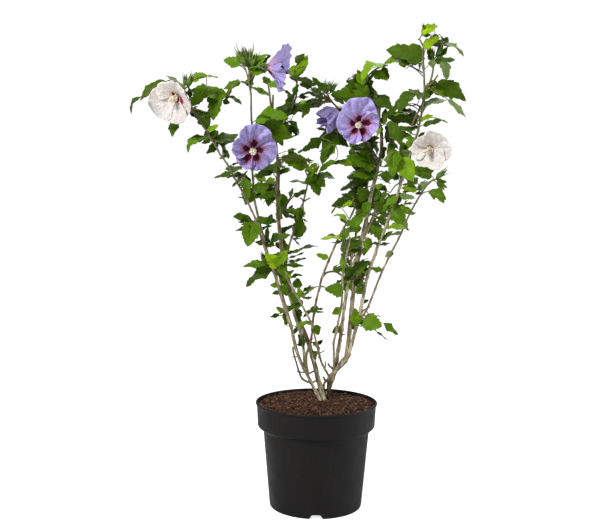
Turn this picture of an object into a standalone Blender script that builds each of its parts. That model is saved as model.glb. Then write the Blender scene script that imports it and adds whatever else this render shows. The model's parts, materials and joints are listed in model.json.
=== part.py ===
"""A hibiscus shrub of several stems in a 24 cm nursery pot, 0.94 m tall over all.

Lengths are in metres and +Z is up. The origin is the centre of the pot's foot, on the surface below it.
The pot and its bark soil are turned solids. Each stem is one tapering limb, and each clump of foliage is one
closed, uneven solid, cut round the limbs that run through it.
"""

import math
from collections import namedtuple

import bmesh
import bpy
import numpy as np
from mathutils import Vector

# Clear gap left wherever two pieces meet.
GAP = 0.0003
ON_AXIS = 1e-6

# Nursery pot: 24 cm across the rim, with a tapered wall, a deep lip band and a raised floor.
RIM_RADIUS = 0.120
POT_HEIGHT = 0.208
RIM_BEAD = 0.003
RIM_BEAD_STEP = 0.001
LIP_FOOT_RADIUS = 0.1155
LIP_HEIGHT = 0.047
LIP_CHAMFER = 0.009
WALL_TOP_RADIUS = 0.1045
WALL_FOOT_RADIUS = 0.0910
WALL = 0.002
FOOT_ROUND = 0.004
FOOT_ROUND_STEPS = 3
FOOT_RING_WIDTH = 0.005
FLOOR_HEIGHT = 0.010
CENTRE_FOOT_RADIUS = 0.026
POT_SEGMENTS = 40
SHARP_ANGLE = math.radians(30)
NOTCH_COUNT = 3
NOTCH_RADIUS = 0.0125
NOTCH_DROP = 0.004
NOTCH_DEPTH = 0.012
NOTCH_SIDES = 20

# Soil: bark compost, a little below the rim and mounded to a flat patch round the stems.
SOIL_EDGE = 0.199
SOIL_TOP = 0.204
SOIL_FLAT_RADIUS = 0.082

# Limbs
GROUND = SOIL_TOP + GAP
RING_SPACING = 0.048
LIMB_SIDES = 6
LEAST_RINGS = 4
FLARE = 0.35
FLARE_LENGTH = 0.012
TAPER_POWER = 0.8
BEND_SAMPLES = 60
HEADING_STEP = 0.01

# Foliage
MASS_UNEVENNESS = 0.55
MASS_BUMPS = 9
BUMP_SHARPNESS = 5
SEED = 24

PLASTIC = (0.016, 0.015, 0.015)
SOIL_BROWN = (0.10, 0.042, 0.022)
BARK_BROWN = (0.17, 0.11, 0.075)
BARK_PALE = (0.42, 0.33, 0.22)
LEAF_GREEN = (0.05, 0.16, 0.02)
PETAL_BLUE = (0.33, 0.28, 0.68)
PETAL_WHITE = (0.85, 0.82, 0.78)
BLOOM_COLOURS = {
    "bloom_left": PETAL_BLUE,
    "bloom_right": PETAL_BLUE,
    "bloom_left_white": PETAL_WHITE,
    "bloom_right_white": PETAL_WHITE,
}

# A limb starts at `foot`, or at the fraction `along` of its parent's length, and runs to `tip`. `bends` are
# its sideways (X) bows from the straight line, in equal steps between the ends. `radii` are at foot and tip.
Limb = namedtuple("Limb", "name parent along foot tip bends radii colour")
LIMBS = (
    Limb("stem_middle", None, 0, (0.011, 0.024, GROUND), (-0.094, 0.088, 0.772),
         (-0.003, -0.023, -0.029, -0.023, -0.005), (0.0052, 0.0018), BARK_BROWN),
    Limb("stem_left_tall", None, 0, (0.002, 0.018, GROUND), (-0.134, -0.045, 0.826),
         (-0.022, -0.028, -0.040, -0.040, -0.020), (0.0046, 0.0017), BARK_PALE),
    Limb("trunk_right", None, 0, (0.016, 0.048, GROUND), (0.065, 0.028, 0.299),
         (-0.010, -0.014, -0.007), (0.0065, 0.0048), BARK_BROWN),
    Limb("stem_left_outer", "stem_left_tall", 0.05, None, (-0.242, -0.090, 0.784),
         (-0.004, 0.016, 0.024, 0.034, 0.020), (0.0028, 0.0015), BARK_PALE),
    Limb("stem_pale", "stem_left_tall", 0.10, None, (-0.023, 0.098, 0.600),
         (-0.019, -0.041, -0.029), (0.0026, 0.0015), BARK_PALE),
    Limb("stem_cross_right", "stem_middle", 0.18, None, (0.066, -0.068, 0.593),
         (-0.016, -0.023, -0.017), (0.0020, 0.0013), BARK_BROWN),
    Limb("stem_right_thick", "trunk_right", 0.91, None, (0.120, 0.068, 0.794),
         (-0.002, -0.006, 0.001, 0.006, 0.014), (0.0039, 0.0016), BARK_BROWN),
    Limb("stem_right_tall", "trunk_right", 1.0, None, (0.193, -0.035, 0.896),
         (0.004, 0.002, 0.017, 0.028, 0.025), (0.0033, 0.0013), BARK_PALE),
    Limb("stem_cross_left", "trunk_right", 0.48, None, (-0.070, -0.085, 0.495),
         (0.003, 0.013, 0.001), (0.0018, 0.0012), BARK_PALE),
    Limb("stem_right_inner", "trunk_right", 0.57, None, (0.119, 0.122, 0.578),
         (-0.003, -0.015, -0.014), (0.0030, 0.0014), BARK_BROWN),
    Limb("stem_right_front", "trunk_right", 0.54, None, (0.059, -0.048, 0.536),
         (-0.002, 0.005, -0.003), (0.0022, 0.0013), BARK_BROWN),
    Limb("stem_right_outer", "stem_right_tall", 0.09, None, (0.207, -0.093, 0.640),
         (-0.001, -0.009, -0.015), (0.0018, 0.0012), BARK_BROWN),
    Limb("stem_back", None, 0, (0.024, 0.076, GROUND), (0.108, 0.176, 0.640),
         (0.006, -0.003, -0.004), (0.0026, 0.0014), BARK_BROWN),
    Limb("branch_centre", "stem_right_thick", 0.78, None, (0.006, 0.024, 0.813),
         (0.006, 0.009, 0.007), (0.0016, 0.0011), BARK_BROWN),
    Limb("branch_middle", "stem_middle", 0.92, None, (-0.044, 0.030, 0.836),
         (0.004, 0.010, 0.009), (0.0015, 0.0010), BARK_PALE),
    Limb("branch_back_left", "stem_middle", 0.55, None, (-0.099, 0.160, 0.640),
         (-0.003, -0.006, -0.004), (0.0018, 0.0012), BARK_BROWN),
)

# A mass sits on a limb at the fraction `along` of its length. `offset` is its centre from there, and `size`
# its half width along X, Y and Z. A mass that holds an open bloom has the bloom's colour.
Mass = namedtuple("Mass", "name limb along offset size")
MASSES = (
    Mass("bloom_left", "stem_left_tall", 0.79, (0.012, -0.022, -0.003), (0.048, 0.027, 0.049)),
    Mass("bloom_right", "branch_centre", 0.53, (0.008, -0.034, 0.002), (0.045, 0.042, 0.046)),
    Mass("bloom_right_white", "stem_right_tall", 0.67, (0.022, -0.028, -0.008), (0.044, 0.040, 0.039)),
    Mass("bloom_left_white", "stem_left_outer", 1.0, (-0.046, -0.002, 0.002), (0.061, 0.028, 0.046)),
    Mass("foliage_left_top", "stem_left_tall", 1.0, (-0.006, 0.000, 0.028), (0.045, 0.032, 0.046)),
    Mass("foliage_left_top_side", "branch_middle", 1.0, (-0.015, -0.020, 0.024), (0.044, 0.036, 0.046)),
    Mass("foliage_left_arm", "stem_left_outer", 0.95, (0.021, 0.014, 0.024), (0.038, 0.030, 0.048)),
    Mass("foliage_left_elbow", "stem_left_outer", 0.86, (-0.008, 0.008, -0.004), (0.045, 0.027, 0.029)),
    Mass("foliage_left_shoulder", "stem_left_outer", 0.72, (-0.006, 0.014, 0.003), (0.048, 0.033, 0.038)),
    Mass("foliage_left_waist", "stem_left_outer", 0.58, (-0.017, -0.003, -0.005), (0.028, 0.025, 0.033)),
    Mass("foliage_left_low", "stem_left_outer", 0.42, (-0.012, 0.010, -0.003), (0.042, 0.028, 0.037)),
    Mass("foliage_left_foot", "stem_left_tall", 0.26, (0.004, -0.005, -0.002), (0.041, 0.026, 0.032)),
    Mass("foliage_middle_top", "stem_middle", 1.0, (0.036, 0.002, 0.002), (0.064, 0.034, 0.042)),
    Mass("foliage_middle_upper", "stem_middle", 0.83, (0.033, 0.014, -0.004), (0.042, 0.034, 0.032)),
    Mass("foliage_middle_waist", "stem_middle", 0.62, (0.002, -0.004, 0.002), (0.028, 0.025, 0.031)),
    Mass("foliage_middle_foot", "stem_middle", 0.18, (0.001, -0.014, 0.003), (0.026, 0.022, 0.022)),
    Mass("foliage_pale_top", "stem_pale", 0.98, (0.014, 0.006, -0.008), (0.028, 0.031, 0.056)),
    Mass("foliage_pale_low", "stem_pale", 0.58, (0.030, -0.004, 0.001), (0.037, 0.026, 0.046)),
    Mass("foliage_back_left", "branch_back_left", 1.0, (0.008, 0.012, -0.008), (0.047, 0.036, 0.056)),
    Mass("foliage_cross_foot", "stem_cross_right", 0.31, (0.018, 0.006, 0.000), (0.034, 0.024, 0.050)),
    Mass("foliage_cross_left", "stem_cross_left", 1.0, (-0.004, -0.010, 0.004), (0.032, 0.027, 0.034)),
    Mass("foliage_cross_top", "stem_cross_right", 1.0, (-0.010, 0.004, 0.006), (0.036, 0.029, 0.028)),
    Mass("foliage_centre_buds", "branch_centre", 0.92, (-0.010, 0.001, -0.012), (0.042, 0.028, 0.048)),
    Mass("foliage_centre", "branch_centre", 0.43, (-0.036, 0.014, -0.020), (0.060, 0.030, 0.040)),
    Mass("foliage_front_low", "stem_right_front", 0.96, (-0.022, -0.004, -0.001), (0.034, 0.027, 0.035)),
    Mass("foliage_thick_top", "stem_right_thick", 1.0, (-0.026, 0.008, 0.030), (0.062, 0.038, 0.053)),
    Mass("foliage_thick_heart", "stem_right_thick", 0.73, (-0.014, -0.009, 0.006), (0.038, 0.040, 0.038)),
    Mass("foliage_thick_low", "stem_right_thick", 0.32, (0.010, -0.014, 0.001), (0.033, 0.032, 0.038)),
    Mass("foliage_right_top", "stem_right_tall", 1.0, (0.027, -0.003, 0.013), (0.045, 0.034, 0.031)),
    Mass("foliage_right_crown", "stem_right_tall", 0.94, (-0.020, 0.008, -0.002), (0.046, 0.028, 0.028)),
    Mass("foliage_right_upper", "stem_right_tall", 0.83, (0.028, -0.012, -0.007), (0.050, 0.032, 0.047)),
    Mass("foliage_right_shoulder", "stem_right_tall", 0.80, (-0.026, 0.022, 0.005), (0.040, 0.036, 0.038)),
    Mass("foliage_right_heart", "stem_right_tall", 0.60, (-0.006, 0.006, 0.003), (0.028, 0.034, 0.039)),
    Mass("foliage_right_waist", "stem_right_tall", 0.48, (0.018, -0.018, -0.010), (0.041, 0.034, 0.040)),
    Mass("foliage_right_outer", "stem_right_outer", 1.0, (0.000, -0.002, -0.003), (0.030, 0.028, 0.031)),
    Mass("foliage_right_foot", "stem_right_outer", 0.10, (0.017, -0.013, -0.012), (0.046, 0.029, 0.036)),
    Mass("foliage_inner_top", "stem_right_inner", 1.0, (0.010, 0.000, -0.004), (0.048, 0.037, 0.046)),
    Mass("foliage_inner_low", "stem_right_inner", 0.58, (0.004, 0.016, 0.000), (0.036, 0.030, 0.034)),
    Mass("foliage_back_low", "stem_back", 0.62, (-0.010, 0.008, 0.004), (0.040, 0.032, 0.042)),
    Mass("foliage_back_top", "stem_back", 1.0, (-0.008, 0.012, 0.006), (0.056, 0.040, 0.064)),
)


def clear_scene():
    for old in list(bpy.data.objects):
        bpy.data.objects.remove(old, do_unlink=True)


def material(name, colour, roughness):
    """A plain Principled surface."""
    made = bpy.data.materials.get(name) or bpy.data.materials.new(name)
    made.use_nodes = True
    shader = made.node_tree.nodes["Principled BSDF"]
    shader.inputs["Base Color"].default_value = (*colour, 1.0)
    shader.inputs["Roughness"].default_value = roughness
    shader.inputs["Metallic"].default_value = 0.0
    return made


def add_object(name, mesh, surface):
    made = bpy.data.objects.new(name, mesh)
    bpy.context.scene.collection.objects.link(made)
    if surface:
        mesh.materials.clear()
        mesh.materials.append(surface)
    return made


def as_cutter(made):
    made.hide_render = True
    made.display_type = "WIRE"
    return made


# ---- Turned pieces -------------------------------------------------------------------------------


def turned(name, profile, surface):
    """A closed solid from (radius, height) points that start and end on the axis, spun once round Z."""
    shape = bmesh.new()
    points = [shape.verts.new((max(radius, 0.0), 0.0, height)) for radius, height in profile]
    edges = [shape.edges.new(pair) for pair in zip(points, points[1:])]
    bmesh.ops.spin(shape, geom=points + edges, cent=(0, 0, 0), axis=(0, 0, 1),
                   angle=math.tau, steps=POT_SEGMENTS, use_merge=True)
    bmesh.ops.remove_doubles(shape, verts=shape.verts, dist=ON_AXIS)
    bmesh.ops.recalc_face_normals(shape, faces=shape.faces)
    mesh = bpy.data.meshes.new(name)
    shape.to_mesh(mesh)
    shape.free()
    mesh.shade_smooth()
    mesh.set_sharp_from_angle(angle=SHARP_ANGLE)
    return add_object(name, mesh, surface)


def wall_radius(height):
    """Outer radius of the tapered wall under the lip band."""
    top = POT_HEIGHT - LIP_HEIGHT - LIP_CHAMFER
    return WALL_FOOT_RADIUS + (WALL_TOP_RADIUS - WALL_FOOT_RADIUS) * height / top


def foot_corner():
    """The rounded corner between the underside and the wall: a quarter circle."""
    centre_radius = wall_radius(FOOT_ROUND) - FOOT_ROUND
    turns = [math.pi / 2 * step / FOOT_ROUND_STEPS for step in range(FOOT_ROUND_STEPS + 1)]
    return [
        (centre_radius + FOOT_ROUND * math.sin(turn), FOOT_ROUND * (1 - math.cos(turn)))
        for turn in turns
    ]


def pot_profile():
    """Underside from the centre foot to the ring, up the outside, over the rim and down the inside."""
    lip_foot = POT_HEIGHT - LIP_HEIGHT
    under_lip = lip_foot - LIP_CHAMFER
    ring_inner = wall_radius(0) - FOOT_ROUND - FOOT_RING_WIDTH
    lip_inner = LIP_FOOT_RADIUS - WALL
    floor_top = FLOOR_HEIGHT + WALL
    return (
        (0, 0),
        (CENTRE_FOOT_RADIUS, 0),
        (CENTRE_FOOT_RADIUS + WALL, FLOOR_HEIGHT),
        (ring_inner - WALL, FLOOR_HEIGHT),
        (ring_inner, 0),
        *foot_corner(),
        (wall_radius(under_lip), under_lip),
        (LIP_FOOT_RADIUS, lip_foot),
        (RIM_RADIUS - RIM_BEAD + RIM_BEAD_STEP, POT_HEIGHT - RIM_BEAD),
        (RIM_RADIUS, POT_HEIGHT - RIM_BEAD + RIM_BEAD_STEP),
        (RIM_RADIUS - RIM_BEAD_STEP, POT_HEIGHT),
        (RIM_RADIUS - RIM_BEAD, POT_HEIGHT),
        (lip_inner, lip_foot),
        (wall_radius(under_lip) - WALL, under_lip),
        (wall_radius(floor_top) - WALL, floor_top),
        (0, floor_top),
    )


def build_pot():
    """The pot, with drainage notches through the foot of its wall, one of them at the front."""
    pot = turned("pot", pot_profile(), material("pot_plastic", PLASTIC, 0.55))
    for number in range(NOTCH_COUNT):
        turn = math.tau * number / NOTCH_COUNT - math.pi / 2
        bpy.ops.mesh.primitive_cylinder_add(
            vertices=NOTCH_SIDES,
            radius=NOTCH_RADIUS,
            depth=2 * NOTCH_DEPTH,
            location=(math.cos(turn) * wall_radius(0), math.sin(turn) * wall_radius(0), -NOTCH_DROP),
            rotation=(math.pi / 2, 0, turn + math.pi / 2),
        )
        cutter = as_cutter(bpy.context.object)
        cutter.name = f"drain_notch_cutter_{number + 1}"
        notch = pot.modifiers.new(f"drain_notch_{number + 1}", "BOOLEAN")
        notch.object = cutter
        notch.operation = "DIFFERENCE"
    return pot


def build_soil():
    """The compost, clear of the pot's inside by one gap."""
    inset = WALL + 2 * GAP
    lip_foot = POT_HEIGHT - LIP_HEIGHT
    under_lip = lip_foot - LIP_CHAMFER
    floor_top = FLOOR_HEIGHT + WALL + GAP
    lip_slope = (RIM_RADIUS - LIP_FOOT_RADIUS) / LIP_HEIGHT
    edge_radius = LIP_FOOT_RADIUS + lip_slope * (SOIL_EDGE - lip_foot) - inset - RIM_BEAD_STEP
    profile = (
        (0, floor_top),
        (wall_radius(floor_top) - inset, floor_top),
        (wall_radius(under_lip) - inset, under_lip + GAP),
        (LIP_FOOT_RADIUS - inset, lip_foot + GAP),
        (edge_radius, SOIL_EDGE),
        (SOIL_FLAT_RADIUS, SOIL_TOP),
        (0, SOIL_TOP),
    )
    return turned("soil", profile, material("bark_soil", SOIL_BROWN, 0.95))


# ---- Limbs ---------------------------------------------------------------------------------------


def bend_at(bends, fraction):
    """Sideways bow at a fraction of the length: a smooth curve through the bends, zero at both ends."""
    values = (0.0, *bends, 0.0)
    place = fraction * (len(values) - 1)
    left = min(int(place), len(values) - 2)
    ease = place - left
    before = values[max(left - 1, 0)]
    after = values[min(left + 2, len(values) - 1)]
    start, end = values[left], values[left + 1]
    slope_start = (end - before) / 2
    slope_end = (after - start) / 2
    return (
        start * (2 * ease**3 - 3 * ease**2 + 1)
        + end * (3 * ease**2 - 2 * ease**3)
        + slope_start * (ease**3 - 2 * ease**2 + ease)
        + slope_end * (ease**3 - ease**2)
    )


def limb_named(name):
    return next(limb for limb in LIMBS if limb.name == name)


def limb_point(limb, fraction):
    """A point of the limb's axis."""
    foot = Vector(limb.foot) if limb.foot else limb_point(limb_named(limb.parent), limb.along)
    point = foot.lerp(Vector(limb.tip), fraction)
    point.x += bend_at(limb.bends, fraction)
    return point


def limb_radius(limb, fraction, length):
    """Taper from foot to tip, with a root flare where the limb leaves the soil."""
    foot, tip = limb.radii
    radius = tip + (foot - tip) * (1 - fraction) ** TAPER_POWER
    if limb.foot:
        radius += foot * FLARE * math.exp(-fraction * length / FLARE_LENGTH)
    return radius


def limb_heading(limb, fraction):
    """Unit direction of the axis. A limb that stands on the soil leaves it upright, for a flat foot."""
    if limb.foot and fraction == 0:
        return Vector((0, 0, 1))
    ahead = limb_point(limb, min(fraction + HEADING_STEP, 1))
    return (ahead - limb_point(limb, max(fraction - HEADING_STEP, 0))).normalized()


def limb_mesh(limb, grow=0.0):
    """A tapering tube of a few sides. `grow` adds to its radius and to both its ends."""
    length = sum(
        (limb_point(limb, (step + 1) / BEND_SAMPLES) - limb_point(limb, step / BEND_SAMPLES)).length
        for step in range(BEND_SAMPLES)
    )
    rings = max(LEAST_RINGS, round(length / RING_SPACING))
    fractions = [step / rings for step in range(rings + 1)]
    if limb.foot:
        fractions.insert(1, FLARE_LENGTH / length)
    shape = bmesh.new()
    loops = []
    for fraction in fractions:
        centre = limb_point(limb, fraction)
        ahead = limb_heading(limb, fraction)
        if fraction in (0, 1):
            centre += ahead * (grow if fraction else -grow)
        side = ahead.cross(Vector((0, 1, 0))).normalized()
        front = side.cross(ahead)
        radius = limb_radius(limb, fraction, length) + grow
        loops.append([
            shape.verts.new(centre + radius * (side * math.cos(turn) + front * math.sin(turn)))
            for turn in (math.tau * corner / LIMB_SIDES for corner in range(LIMB_SIDES))
        ])
    for low, high in zip(loops, loops[1:]):
        for corner in range(LIMB_SIDES):
            beside = (corner + 1) % LIMB_SIDES
            shape.faces.new((low[corner], low[beside], high[beside], high[corner]))
    shape.faces.new(reversed(loops[0]))
    shape.faces.new(loops[-1])
    bmesh.ops.recalc_face_normals(shape, faces=shape.faces)
    mesh = bpy.data.meshes.new(limb.name)
    shape.to_mesh(mesh)
    shape.free()
    mesh.shade_smooth()
    return mesh


# ---- Masses --------------------------------------------------------------------------------------


def mass_centre(mass):
    return limb_point(limb_named(mass.limb), mass.along) + Vector(mass.offset)


def mass_mesh(mass, number, grow=0.0):
    """An uneven ball: a coarse sphere pushed out and in by seeded bumps, then fitted to its half widths."""
    rng = np.random.default_rng(SEED + number)
    towards = rng.normal(size=(MASS_BUMPS, 3))
    towards /= np.linalg.norm(towards, axis=1, keepdims=True)
    heights = rng.uniform(-MASS_UNEVENNESS, MASS_UNEVENNESS, MASS_BUMPS)
    shape = bmesh.new()
    bmesh.ops.create_icosphere(shape, subdivisions=2, radius=1.0)
    corners = np.array([vert.co[:] for vert in shape.verts])
    facing = np.maximum(corners @ towards.T, 0.0) ** BUMP_SHARPNESS
    corners *= 1 + facing @ heights[:, None]
    low, high = corners.min(axis=0), corners.max(axis=0)
    corners = (2 * corners - low - high) / (high - low)
    corners *= np.array(mass.size) + grow
    for vert, corner in zip(shape.verts, corners):
        vert.co = Vector(corner) + mass_centre(mass)
    mesh = bpy.data.meshes.new(mass.name)
    shape.to_mesh(mesh)
    shape.free()
    return mesh


# ---- Cutting pieces round each other -------------------------------------------------------------


def bounds(made):
    corners = np.array([vert.co[:] for vert in made.data.vertices])
    return corners.min(axis=0), corners.max(axis=0)


def near(one, other):
    (low_a, high_a), (low_b, high_b) = bounds(one), bounds(other)
    return bool((low_a < high_b + GAP).all() and (low_b < high_a + GAP).all())


def largest_piece(mesh):
    """Keeps the connected piece of greatest volume, and drops any sliver cut off from it."""
    shape = bmesh.new()
    shape.from_mesh(mesh)
    unseen = set(shape.faces)
    pieces = []
    while unseen:
        piece = set()
        edge_of_piece = [unseen.pop()]
        while edge_of_piece:
            face = edge_of_piece.pop()
            piece.add(face)
            beside = {other for edge in face.edges for other in edge.link_faces} & unseen
            unseen -= beside
            edge_of_piece.extend(beside)
        pieces.append(piece)
    volume_of = {
        index: sum(face.calc_area() * face.normal.dot(face.calc_center_median()) for face in piece)
        for index, piece in enumerate(pieces)
    }
    kept = max(volume_of, key=volume_of.get)
    dropped = [face for index, piece in enumerate(pieces) if index != kept for face in piece]
    bmesh.ops.delete(shape, geom=dropped, context="FACES")
    shape.to_mesh(mesh)
    shape.free()


def cut_round(made, cutters):
    """Takes the cutters that reach `made` out of it, for good."""
    reaching = [cutter for cutter in cutters if near(made, cutter)]
    for cutter in reaching:
        cut = made.modifiers.new(cutter.name, "BOOLEAN")
        cut.object = cutter
        cut.operation = "DIFFERENCE"
    if not reaching:
        return
    bpy.context.view_layer.update()
    graph = bpy.context.evaluated_depsgraph_get()
    finished = bpy.data.meshes.new_from_object(made.evaluated_get(graph))
    made.modifiers.clear()
    made.data = finished
    largest_piece(finished)


def build_limbs():
    """Each limb is cut round the ones before it, and leaves a cutter for what comes after."""
    cutters = []
    for limb in LIMBS:
        made = add_object(limb.name, limb_mesh(limb), material(f"bark_{limb.name}", limb.colour, 0.8))
        cut_round(made, cutters)
        cutters.append(as_cutter(add_object(f"{limb.name}_clearance", limb_mesh(limb, GAP), None)))
    return cutters


def build_masses(limb_cutters):
    """Each mass is cut round the limbs and round the masses before it."""
    cutters = list(limb_cutters)
    for number, mass in enumerate(MASSES):
        colour = BLOOM_COLOURS.get(mass.name, LEAF_GREEN)
        surface = material(f"surface_{mass.name}", colour, 0.7)
        made = add_object(mass.name, mass_mesh(mass, number), surface)
        cut_round(made, cutters)
        clearance = add_object(f"{mass.name}_clearance", mass_mesh(mass, number, 2 * GAP), None)
        cutters.append(as_cutter(clearance))


def main():
    clear_scene()
    build_pot()
    build_soil()
    build_masses(build_limbs())


main()
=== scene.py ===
"""Potted hibiscus shrub: bark, leaves, blooms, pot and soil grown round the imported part.

Lengths are metres in the part's own frame, +Z up, with the origin under the middle of the pot.
Leaves and twigs that the camera sees one by one are placed in the camera's frame, in its pixels, and each
is carried by the limb or twig nearest to it. The rest grow on from the limbs by a seeded branching rule.
"""

import json
import math
from collections import namedtuple
from functools import lru_cache

import bpy
import numpy as np
from bpy.props import FloatProperty, FloatVectorProperty, IntProperty, PointerProperty
from mathutils import Matrix, Vector

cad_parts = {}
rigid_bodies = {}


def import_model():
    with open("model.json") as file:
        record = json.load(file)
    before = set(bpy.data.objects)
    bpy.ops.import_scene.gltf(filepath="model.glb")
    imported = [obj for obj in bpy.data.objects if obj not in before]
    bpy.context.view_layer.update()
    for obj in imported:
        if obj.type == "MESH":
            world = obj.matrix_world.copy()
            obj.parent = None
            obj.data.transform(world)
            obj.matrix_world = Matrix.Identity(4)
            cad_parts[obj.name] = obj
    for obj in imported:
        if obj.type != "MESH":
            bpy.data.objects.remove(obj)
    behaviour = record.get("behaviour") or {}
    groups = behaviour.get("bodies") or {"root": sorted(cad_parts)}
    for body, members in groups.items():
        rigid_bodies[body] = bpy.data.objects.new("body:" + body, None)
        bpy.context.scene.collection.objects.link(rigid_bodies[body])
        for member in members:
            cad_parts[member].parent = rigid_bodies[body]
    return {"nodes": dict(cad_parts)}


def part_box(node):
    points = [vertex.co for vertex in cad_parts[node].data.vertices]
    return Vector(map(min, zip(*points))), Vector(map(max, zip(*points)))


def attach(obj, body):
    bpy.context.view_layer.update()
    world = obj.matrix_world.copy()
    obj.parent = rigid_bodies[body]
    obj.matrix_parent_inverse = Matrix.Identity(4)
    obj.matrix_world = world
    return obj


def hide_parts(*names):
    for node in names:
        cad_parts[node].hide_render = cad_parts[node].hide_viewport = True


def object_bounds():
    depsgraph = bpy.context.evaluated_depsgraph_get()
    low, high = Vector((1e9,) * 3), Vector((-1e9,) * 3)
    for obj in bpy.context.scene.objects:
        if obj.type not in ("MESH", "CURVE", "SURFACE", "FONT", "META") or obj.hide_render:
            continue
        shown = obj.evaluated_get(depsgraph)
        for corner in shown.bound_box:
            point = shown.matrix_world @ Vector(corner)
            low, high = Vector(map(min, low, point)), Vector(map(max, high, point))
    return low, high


bl_info = {
    "name": "Potted hibiscus shrub",
    "version": (1, 0, 0),
    "blender": (4, 5, 0),
    "location": "3D View > Sidebar > Hibiscus",
    "description": "Grows the bark, leaves and blooms of a potted hibiscus shrub on its packed part",
    "category": "Object",
}

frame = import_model()
CAD_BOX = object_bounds()
BODY = "root"
SEED = 24
UP = np.array((0.0, 0.0, 1.0))

# ---- Camera ---------------------------------------------------------------------------------------

IMAGE_WIDTH = 600
IMAGE_HEIGHT = 527
SENSOR_WIDTH = 36.0
LENS = 57.0
CAMERA_PLACE = np.array((-0.035, -1.85, 0.637))
CAMERA_PITCH = 0.0842
CAMERA_ROLL = 0.0093
CAMERA_TURN = Matrix.Rotation(math.pi / 2 - CAMERA_PITCH, 4, "X") @ Matrix.Rotation(CAMERA_ROLL, 4, "Z")
TURN = np.array(CAMERA_TURN.to_3x3())
PIXELS_AWAY = LENS / SENSOR_WIDTH * IMAGE_WIDTH
METRES_PER_PIXEL = -CAMERA_PLACE[1] / PIXELS_AWAY


def at_depth(pixels, depth):
    """Points on the rays through `pixels` where Y is `depth`: camera + ray x (depth - camera Y) / ray Y."""
    pixels = np.asarray(pixels, float)
    away = np.full(pixels.shape[:-1], -PIXELS_AWAY)
    across = pixels[..., 0] - IMAGE_WIDTH / 2
    ray = np.stack([across, IMAGE_HEIGHT / 2 - pixels[..., 1], away], -1) @ TURN.T
    reach = (np.asarray(depth, float) - CAMERA_PLACE[1]) / ray[..., 1]
    return CAMERA_PLACE + ray * reach[..., None]


def in_view(points):
    """Pixels of points: their camera coordinates divided by their distance along the lens axis."""
    seen = (np.asarray(points, float) - CAMERA_PLACE) @ TURN
    scale = PIXELS_AWAY / -seen[..., 2]
    return np.stack([IMAGE_WIDTH / 2 + seen[..., 0] * scale, IMAGE_HEIGHT / 2 - seen[..., 1] * scale], -1)


# ---- Pot and soil, as in the part -----------------------------------------------------------------

RIM_RADIUS = 0.120
POT_HEIGHT = 0.208
LIP_FOOT_RADIUS = 0.1155
LIP_HEIGHT = 0.047
LIP_CHAMFER = 0.009
WALL_TOP_RADIUS = 0.1045
WALL_FOOT_RADIUS = 0.0910
WALL = 0.002
FLOOR_HEIGHT = 0.010
FOOT_RING_WIDTH = 0.009
CENTRE_FOOT_RADIUS = 0.026
NOTCHES = 3
NOTCH_HALF_WIDTH = 0.0122
NOTCH_HEIGHT = 0.0085
SOIL_EDGE = 0.2025
SOIL_TOP = 0.2050
GROUND = 0.2043

# ---- Limbs ----------------------------------------------------------------------------------------

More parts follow.
